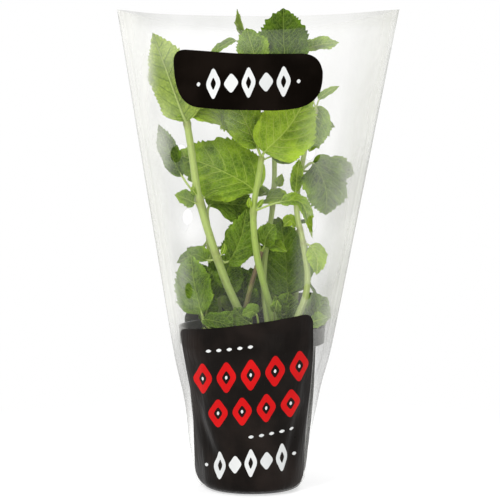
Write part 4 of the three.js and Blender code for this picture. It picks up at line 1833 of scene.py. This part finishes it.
        thin = self.half_thickness * (1 - 0.45 * size**4)
        level = self.lift_at(leaf, along[:, None], size, phase[None, :]) + puff
        sweep = self.edge_sweep * (1 - ease(0.7, 1.0, along))[:, None]
        shift = sweep * spread + self.tooth_hook * teeth
        middle_sheet = (
            centres[:, None]
            + right[:, None] * sideways[..., None]
            + forward[:, None] * shift[..., None]
        )
        upper = middle_sheet + up[:, None] * (level + thin)[..., None]
        lower = middle_sheet + up[:, None] * (level - thin)[..., None]
        rings = np.concatenate([upper, lower[:, ::-1]], axis=1)
        columns = len(across)
        place = np.stack([vein_phase, np.broadcast_to(size, vein_phase.shape), sideways], -1)
        flat = np.stack([rib_place + 0 * sideways, sideways, np.full(sideways.shape, 9.0 * seed)], -1)
        tone = np.zeros((rows + 1, 2 * columns, 3))
        tone[..., 0] = leaf.tone
        tone[:, columns:, 1] = 1.0
        doubled = (np.concatenate([part, part[:, ::-1]], axis=1) for part in (place, flat))
        place, flat, tone = (part.reshape(-1, 3) for part in (*doubled, tone))
        draft.add_tube(rings, 0, vein_place=place, leaf_flat=flat, leaf_tone=tone)

    def add_stalk(self, draft: Draft, leaf: Leaf, spine: SmoothPath) -> None:
        """Adds the leaf's stalk, which runs on under the blade as its rib.

        Args:
            draft: The draft.
            leaf: The leaf.
            spine: Its spine, from the stem to the tip.
        """
        shares = np.concatenate([
            np.linspace(0, self.blade_start, 14),
            np.linspace(self.blade_start, 0.985, 40)[1:],
        ])
        centres, _, up, right = self.blade_frame(spine, shares, leaf.face)
        along = np.clip((shares - self.blade_start) / (1 - self.blade_start), 0, 1)
        size = min(1.0, 0.45 + leaf.width / 40)
        radius = size * np.where(
            along > 0, self.stalk_radius * 0.9 * (1 - along) ** 0.9 + 0.1, self.stalk_radius
        )
        radius = radius * (1 + 0.5 * np.exp(-((shares / 0.04) ** 2)))
        sunk = ease(0, 0.12, along) * radius * 0.9
        turns = turns_of(self.stalk_sides)
        rings = centres[:, None] - (up * sunk[:, None])[:, None] + radius[:, None, None] * (
            right[:, None] * np.cos(turns)[None, :, None] + 0.85 * up[:, None] * np.sin(turns)[None, :, None]
        )
        count = len(shares) * len(turns)
        place = np.stack([np.full(count, 0.9), np.zeros(count), np.tile(turns / 12, len(shares))], -1)
        draft.add_tube(rings, 1, stem_place=place, stem_tone=self.stem_tone(count))

    def build(self, materials: Sequence[bpy.types.Material]) -> bpy.types.Object:
        """Grows the stem and its leaves.

        Args:
            materials: The leaf material and the stem material.

        Returns:
            The finished piece, which stands for the frame's node of the same name.
        """
        draft = Draft()
        self.add_stem(draft)
        curve = self.curve()
        for number, leaf in enumerate(self.leaves + self.sprigs):
            root = curve.at(curve.share_at(leaf.node))[0][0]
            spine = SmoothPath([tuple(root), leaf.neck, leaf.middle, leaf.tip])
            self.add_blade(draft, leaf, number, spine)
            self.add_stalk(draft, leaf, spine)
        piece = draft.build(f"{self.name}_grown", materials, crease=60.0)
        settle(piece, "foliage", self.name)
        return piece


def plant_plan() -> list[LeafyStem]:
    """The stems and shoots of the plant, with every leaf in its place.

    Returns:
        The stems, in millimetres.
    """
    return [
        LeafyStem(
            "stem_front_left", 3.1, 2.2,
            ((-2, -12, 105), (-7, -14, 125), (-19, -17, 153), (-29, -21, 182),
             (-38, -25, 213), (-44, -29, 253), (-47, -31, 272)),
            (
                Leaf(266, (-47, -33, 268), (-58.5, -34.5, 299), (-71, -18, 331), 35, (0.45, 1, -0.1), 0.7),
                Leaf(267, (-45.5, -31, 272), (-23, -21, 278), (-2, -14, 255), 32, (0.1, -0.9, 0.4), 0.8),
                Leaf(267, (-48, -33, 269), (-51, -34, 270), (-55, -35, 270), 6, (0, -0.8, 0.6), 0.7),
                Leaf(212, (-50, -24, 229), (-59, -20, 247), (-67, -16, 266), 16, (-0.5, -0.9, 0.2), 0.1),
                Leaf(209, (-41, -28, 210), (-47, -30, 213), (-55, -33, 216), 14, (0, -0.8, 0.6), 0.5),
                Leaf(211, (-34, -24, 214), (-29, -25, 217), (-24, -25, 219), 7, (0, -0.5, 0.85), 0.5),
                Leaf(174, (-31, -14, 207), (-14, -5, 208), (2, -3, 205), 28, (0, -0.95, 0.35), 0.3),
                Leaf(169, (-18, -16, 167), (-9, -14, 182), (-4, -13, 205), 23, (0.2, -0.95, 0.1), 0.3),
                Leaf(169, (-32, -14, 168), (-42, -3, 171), (-55, 2, 165), 16, (0, -0.7, 0.7), 0.35),
            ),
            sprigs=(
                Leaf(212, (-40, -28, 216), (-42, -29, 219), (-42, -30, 223), 4, (0, -1, 0.2), 0.6),
                Leaf(169, (-22, -22, 173), (-20, -23, 177), (-20, -24, 181), 4, (0, -1, 0.2), 0.6),
            ),
            painted_paleness=0.35,
        ),
        LeafyStem(
            "stem_front_middle", 2.8, 1.8,
            ((19, -17, 106), (15, -18, 127), (9, -21, 149), (3, -24, 175), (1, -27, 205),
             (5, -29, 230), (7, -30, 244)),
            (
                Leaf(242, (8.5, -32, 246), (25, -38, 263), (40, -39, 287), 41, (0.05, -1, 0.05), 0.9),
                Leaf(242, (4, -31, 249), (-6, -31, 271), (-15, -27, 293), 27, (-0.3, -1, 0.1), 0.6),
                Leaf(203, (2, -19, 217), (-21, -8, 232), (-56, -6, 245), 47, (-0.05, -1, 0.25), 0.6),
                Leaf(204, (20, -36, 211), (34, -40, 211), (42.5, -40, 186), 14, (0.6, -0.6, 0.5), 0.6),
                Leaf(122, (16, -28, 132), (17, -31, 136), (18, -32, 141), 8, (0, -1, 0.1), 0.5),
            ),
            sprigs=(
                Leaf(240, (14, -29, 243), (23, -30, 241), (33, -31, 242), 7, (0, -1, 0.1), 0.15),
                Leaf(204, (-1, -29, 207), (-2, -30, 210), (-2, -31, 214), 4, (0, -1, 0.2), 0.6),
                Leaf(204, (4, -29, 207), (6, -30, 210), (8, -31, 213), 4, (0, -1, 0.2), 0.6),
            ),
        ),
        LeafyStem(
            "stem_tall", 2.3, 1.5,
            ((15, 4, 103), (11, 4, 124), (8.6, 5, 145), (9.5, 6, 168), (15, 10, 205),
             (16.5, 13, 237), (14, 16, 284), (11, 18, 313)),
            (
                Leaf(311, (23, 16, 306), (23, 14, 329), (23, 18, 351), 36, (0, -1, 0.15), 0.1),
                Leaf(311, (0, 22, 313), (-5, 28, 331), (-11, 29, 351), 24, (-0.95, 0.25, -0.15), 0.4),
                Leaf(310, (5, 10, 309), (0, 8, 322), (-4, 10, 336), 24, (0.15, -1, 0.2), 0.45),
                Leaf(308, (39, 27, 321), (51, 34, 325), (65, 40, 327), 16, (-0.2, -0.75, 0.65), 0.7),
                Leaf(311, (-12, 12, 327), (-21, 8, 323), (-32, 4, 315), 9, (-0.1, -0.6, 0.8), 0.45),
                Leaf(276, (7, 22, 284), (-6, 32, 293), (-22, 40, 290), 26, (0, -0.3, 0.95), 0.45),
                Leaf(274, (24, 24, 281), (36, 34, 290), (51, 42, 287), 26, (0, -0.3, 0.95), 0.45),
                Leaf(218, (18, 11, 221), (20, 10, 224), (22, 9, 230), 7, (0, -1, 0), 0.9),
                Leaf(206, (10, 3, 211), (17, -3, 213), (27, -6, 211), 16, (0.05, -0.75, 0.65), 0.65),
                Leaf(206, (18, 18, 210), (12, 30, 216), (5, 40, 212), 24, (0, 0.5, 0.85), 0.35),
            ),
            painted_paleness=0.5,
        ),
        LeafyStem(
            "stem_right", 2.7, 1.5,
            ((26, -9, 105), (32.5, -8, 124), (39, -7, 142), (40.3, -6, 158), (36.8, -4, 182),
             (32.5, -2, 205), (38.5, 2, 247), (47, 7, 278)),
            (
                Leaf(277, (49, 9, 284), (55, 12, 289), (64, 14, 294), 8, (-0.3, -0.7, 0.65), 0.6),
                Leaf(277, (44, 4, 284), (41, -2, 289), (35, -6, 295), 12, (0.3, -0.6, 0.75), 0.5),
                Leaf(275, (47, 10, 279), (45, 12, 262), (42, 11, 246), 24, (0.25, -1, 0.1), 0.65),
                Leaf(232, (44, 0, 238), (53, -8, 221), (54, 4, 200), 32, (0.1, -1, 0.1), 0.35),
                Leaf(232, (51, 9, 232), (63, 10, 233), (75, 7, 230), 20, (-0.1, -0.9, 0.45), 0.5),
                Leaf(207, (31.5, -6, 217), (32.5, -8, 229), (34, -9, 241), 10, (0.2, -1, 0), 0.7),
                Leaf(180, (42, -5, 178), (47, -7, 170), (47, -7, 157), 15, (0.1, -1, 0.15), 0.75),
                Leaf(190, (32, -3, 192), (28, -5, 196), (23, -7, 192), 12, (0, -0.6, 0.8), 0.85),
                Leaf(190, (35, 8, 193), (36, 16, 195), (34, 24, 194), 12, (0, -0.3, 0.95), 0.3),
            ),
            sprigs=(
                Leaf(272, (52, 15, 268), (56, 17, 266), (61, 17, 264), 7, (0, -0.8, 0.6), 0.6),
            ),
            painted_paleness=0.8,
        ),
        LeafyStem(
            "stem_young", 2.0, 1.4,
            ((-12, -4, 104), (-4, -5, 136), (1, -7, 155), (7, -9, 175)),
            (
                Leaf(174, (9, -11, 178), (11, -14, 186), (17, -16, 194), 17, (-0.3, -0.9, 0.3), 0.4),
                Leaf(174, (12, -10, 177), (17, -12, 178), (25, -13, 174), 13, (0, -0.6, 0.8), 0.5),
                Leaf(173, (2, -7, 187), (-4, -6, 183), (-11, -5, 168), 30, (0.1, -0.9, 0.4), 0.3),
            ),
            habit=Habit.FLUSHED,
        ),
        LeafyStem(
            "stem_back_left", 2.6, 1.8,
            ((-20, 12, 104), (-25, 14, 130), (-30, 17, 160), (-33, 20, 192), (-40, 22, 218)),
            (
                Leaf(216, (-40, 18, 226), (-42, 12, 234), (-50, 10, 236), 22, (-0.1, -0.4, 0.9), 0.4),
                Leaf(216, (-33, 28, 224), (-22, 36, 232), (-8, 44, 232), 24, (0.1, -0.2, 0.95), 0.4),
                Leaf(182, (-36, 22, 176), (-42, 26, 172), (-50, 26, 162), 20, (-0.5, 0.3, 0.8), 0.3),
                Leaf(176, (-25, 26, 174), (-16, 36, 176), (-4, 44, 172), 24, (0, 0.5, 0.85), 0.3),
                Leaf(138, (-22, 4, 142), (-19, 3, 157), (-12, 4, 172), 28, (-0.1, -0.95, 0.35), 0.3),
                Leaf(134, (-30, 0, 138), (-33, -8, 150), (-36, -10, 165), 24, (-0.2, -0.9, 0.4), 0.3),
                Leaf(120, (-27, 4, 120), (-33, -1, 126), (-40, -6, 132), 21, (-0.1, -0.8, 0.6), 0.3),
            ),
        ),
        LeafyStem(
            "stem_back_right", 2.8, 1.8,
            ((27, 20, 104), (31, 22, 130), (34, 25, 160), (34, 27, 188)),
            (
                Leaf(186, (30, 30, 188), (22, 38, 190), (12, 46, 184), 22, (0, 0.5, 0.85), 0.35),
                Leaf(134, (27, 15, 140), (25, 12, 166), (21, 12, 196), 40, (-0.1, -1, 0.15), 0.3),
                Leaf(150, (37, 26, 151), (42, 25, 148), (48, 17, 137), 15, (0.3, 0.3, 0.9), 0.35),
                Leaf(122, (26, 9, 120), (25, 9, 131), (27, 8, 143), 24, (0, -1, 0.2), 0.4),
            ),
            sprigs=(
                Leaf(128, (22, 4, 127), (20, 0, 133), (17, -3, 141), 14, (0, -1, 0.2), 0.4),
            ),
            painted_paleness=0.4,
        ),
        LeafyStem(
            "shoot_left", 2.0, 1.5,
            ((-30, -20, 104), (-32, -23, 114), (-33, -24, 122)),
            (
                Leaf(121, (-36, -24, 130), (-41.5, -15.5, 151), (-44, -15, 172), 31, (-0.45, -0.9, 0.1), 0.3),
                Leaf(120, (-41, -15, 134), (-48, -9, 136), (-56, -4, 137), 9, (0, -0.5, 0.85), 0.5),
                Leaf(119, (-35, -36, 127), (-25, -38, 126), (-12, -39, 121), 13, (-0.1, -0.7, 0.7), 0.1),
            ),
            sprigs=(
                Leaf(121, (-33, -17, 132), (-31, -13, 137), (-27, -11, 143), 13, (0, -1, 0.2), 0.3),
                Leaf(120, (-27, -30, 120), (-20, -32, 126), (-14, -32, 133), 14, (0, -0.95, 0.3), 0.15),
            ),
        ),
        LeafyStem(
            "shoot_front", 1.8, 1.3,
            ((4, -32, 104), (4, -33, 113), (5, -34, 122)),
            (
                Leaf(121, (3, -36, 131), (0, -37, 133), (-7, -38, 131), 12, (0, -0.9, 0.4), 0.3),
            ),
            sprigs=(
                Leaf(120, (-1, -31, 124), (-7, -29, 128), (-13, -27, 135), 15, (0, -0.95, 0.3), 0.15),
            ),
        ),
        LeafyStem(
            "shoot_right", 2.0, 1.4,
            ((37, 4, 104), (38, 4, 113), (38, 3, 120)),
            (
                Leaf(118, (42, 2, 121), (48, 0, 131), (55, -2, 140), 26, (-0.3, -0.9, 0.3), 0.3),
                Leaf(117, (42, -5, 121), (48, -9, 124), (55, -8, 126), 13, (0, -0.8, 0.6), 0.5),
            ),
        ),
        LeafyStem(
            "shoot_back", 2.2, 1.6,
            ((-3, 24, 104), (-2, 24, 114), (-1, 23, 124)),
            (
                Leaf(122, (-4, 16, 131), (-6, 13, 144), (-7, 11, 161), 28, (-0.1, -0.9, 0.4), 0.3),
                Leaf(121, (-5, 15, 121), (-11, 7, 122), (-18, -1, 119), 16, (-0.1, -0.6, 0.8), 0.3),
                Leaf(122, (2, 20, 133), (2, 21, 146), (-1, 20, 160), 24, (0.1, -0.95, 0.3), 0.3),
                Leaf(122, (-7, 30, 126), (-14, 38, 134), (-20, 44, 146), 24, (-0.3, 0.7, 0.6), 0.3),
                Leaf(122, (4, 30, 126), (9, 38, 132), (14, 46, 142), 24, (0.3, 0.7, 0.6), 0.3),
            ),
            sprigs=(
                Leaf(123, (-1, 12, 134), (-1, 6, 141), (-2, 2, 149), 12, (0, -1, 0.3), 0.3),
                Leaf(123, (-5, 10, 129), (-8, 3, 133), (-11, -2, 140), 13, (0, -0.9, 0.4), 0.35),
            ),
        ),
    ]


@dataclass(frozen=True)
class Lamp:
    """A soft square lamp.

    Attributes:
        name: The lamp's name.
        place: Where it hangs, in metres.
        aim: The point that it faces, in metres.
        size: Its width, in metres.
        power: Its power in watts.
    """

    name: str
    place: Point
    aim: Point
    size: float
    power: float

    def build(self) -> None:
        """Hangs the lamp."""
        data = bpy.data.lights.new(self.name, "AREA")
        data.size = self.size
        data.energy = self.power
        lamp = linked(self.name, data)
        lamp.location = self.place
        lamp.rotation_euler = (Vector(self.aim) - Vector(self.place)).to_track_quat("-Z", "Y").to_euler()


@dataclass
class Studio:
    """The pale floor, the soft light and the camera."""

    target: Point = (-1.5, 0.0, 174.5)
    distance: float = 1300.0
    elevation: float = 4.0
    focal_length: float = 128.2
    floor_size: float = 6.0
    world: Colour = (1.0, 1.0, 1.0)
    world_light: float = 0.55
    lamps: tuple[Lamp, ...] = (
        Lamp("key", (-0.8, -1.1, 1.2), (0.0, 0.0, 0.2), 0.5, 17.0),
        Lamp("fill", (0.9, -1.6, 0.35), (0.0, 0.0, 0.17), 0.9, 8.0),
        Lamp("rim", (0.5, 1.1, 0.9), (0.0, 0.0, 0.22), 0.6, 9.0),
    )

    def camera(self) -> None:
        """Sets the camera at the photograph's angle."""
        data = bpy.data.cameras.new("camera")
        data.lens = self.focal_length
        data.sensor_width = 36.0
        data.clip_start, data.clip_end = 0.05, 50.0
        camera = linked("camera", data)
        rise = math.radians(self.elevation)
        back = Vector((0.0, -math.cos(rise), math.sin(rise)))
        camera.location = Vector(self.target) * MM + back * self.distance * MM
        camera.rotation_euler = (-back).to_track_quat("-Z", "Y").to_euler()
        bpy.context.scene.camera = camera

    def floor(self) -> None:
        """Lays the pale floor, which fades into the white behind it."""
        half = self.floor_size / 2
        mesh = bpy.data.meshes.new("floor")
        corners = [(-half, -half, 0), (half, -half, 0), (half, half, 0), (-half, half, 0)]
        mesh.from_pydata(corners, [], [(0, 1, 2, 3)])
        paint = Paint("pale_floor")
        axes = paint.split(paint.place())[:2]
        along, across = (paint.sum("POWER", paint.sum("ABSOLUTE", axis), 2.0) for axis in axes)
        reach = paint.sum("SQRT", paint.sum("ADD", along, across))
        far = paint.span(reach, 120.0, 420.0)
        grain = paint.noise(paint.place((0.02, 0.02, 0.02)), 1.0, 2.0)
        near_tint = paint.blend(grain, (0.60, 0.60, 0.60), (0.64, 0.64, 0.64))
        tint = paint.blend(far, near_tint, (0.0, 0.0, 0.0))
        glow = paint.span(reach, 60.0, 420.0, 0.55, 1.0)
        material = paint.finish(
            Base_Color=tint, Roughness=0.9, Specular_IOR_Level=0.0,
            Emission_Color=(1.0, 1.0, 1.0, 1.0), Emission_Strength=glow,
        )
        mesh.materials.append(material)
        floor = linked("floor", mesh)

    def backdrop(self) -> None:
        """Makes the world white to look at and dimmer as a light."""
        world = bpy.data.worlds.new("studio")
        world.use_nodes = True
        tree = world.node_tree
        seen = tree.nodes["Background"]
        seen.inputs["Color"].default_value = (*self.world, 1.0)
        lighting = tree.nodes.new("ShaderNodeBackground")
        lighting.inputs["Color"].default_value = (*self.world, 1.0)
        lighting.inputs["Strength"].default_value = self.world_light
        rays = tree.nodes.new("ShaderNodeLightPath")
        mix = tree.nodes.new("ShaderNodeMixShader")
        tree.links.new(rays.outputs["Is Camera Ray"], mix.inputs["Fac"])
        tree.links.new(lighting.outputs[0], mix.inputs[1])
        tree.links.new(seen.outputs[0], mix.inputs[2])
        tree.links.new(mix.outputs[0], tree.nodes["World Output"].inputs["Surface"])
        bpy.context.scene.world = world

    def build(self) -> None:
        """Sets up the world, the lamps, the floor and the picture's tone."""
        scene = bpy.context.scene
        scene.view_settings.view_transform = "Standard"
        scene.view_settings.look = "None"
        self.backdrop()
        for lamp in self.lamps:
            lamp.build()
        self.floor()
        self.camera()


def main() -> None:
    """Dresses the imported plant."""
    logging.basicConfig(level=logging.INFO, format="%(name)s: %(message)s")
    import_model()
    Studio().build()
    sleeve = FilmSleeve()
    sleeve.build()
    PrintedPanels(sleeve).build()
    NurseryPot().build()
    PottingMix().build()
    foliage = [LeafFinish().material(), StemFinish().material()]
    for stem in plant_plan():
        stem.build(foliage)
    LOG.info("sizes written")


if __name__ == "__main__":
    main()
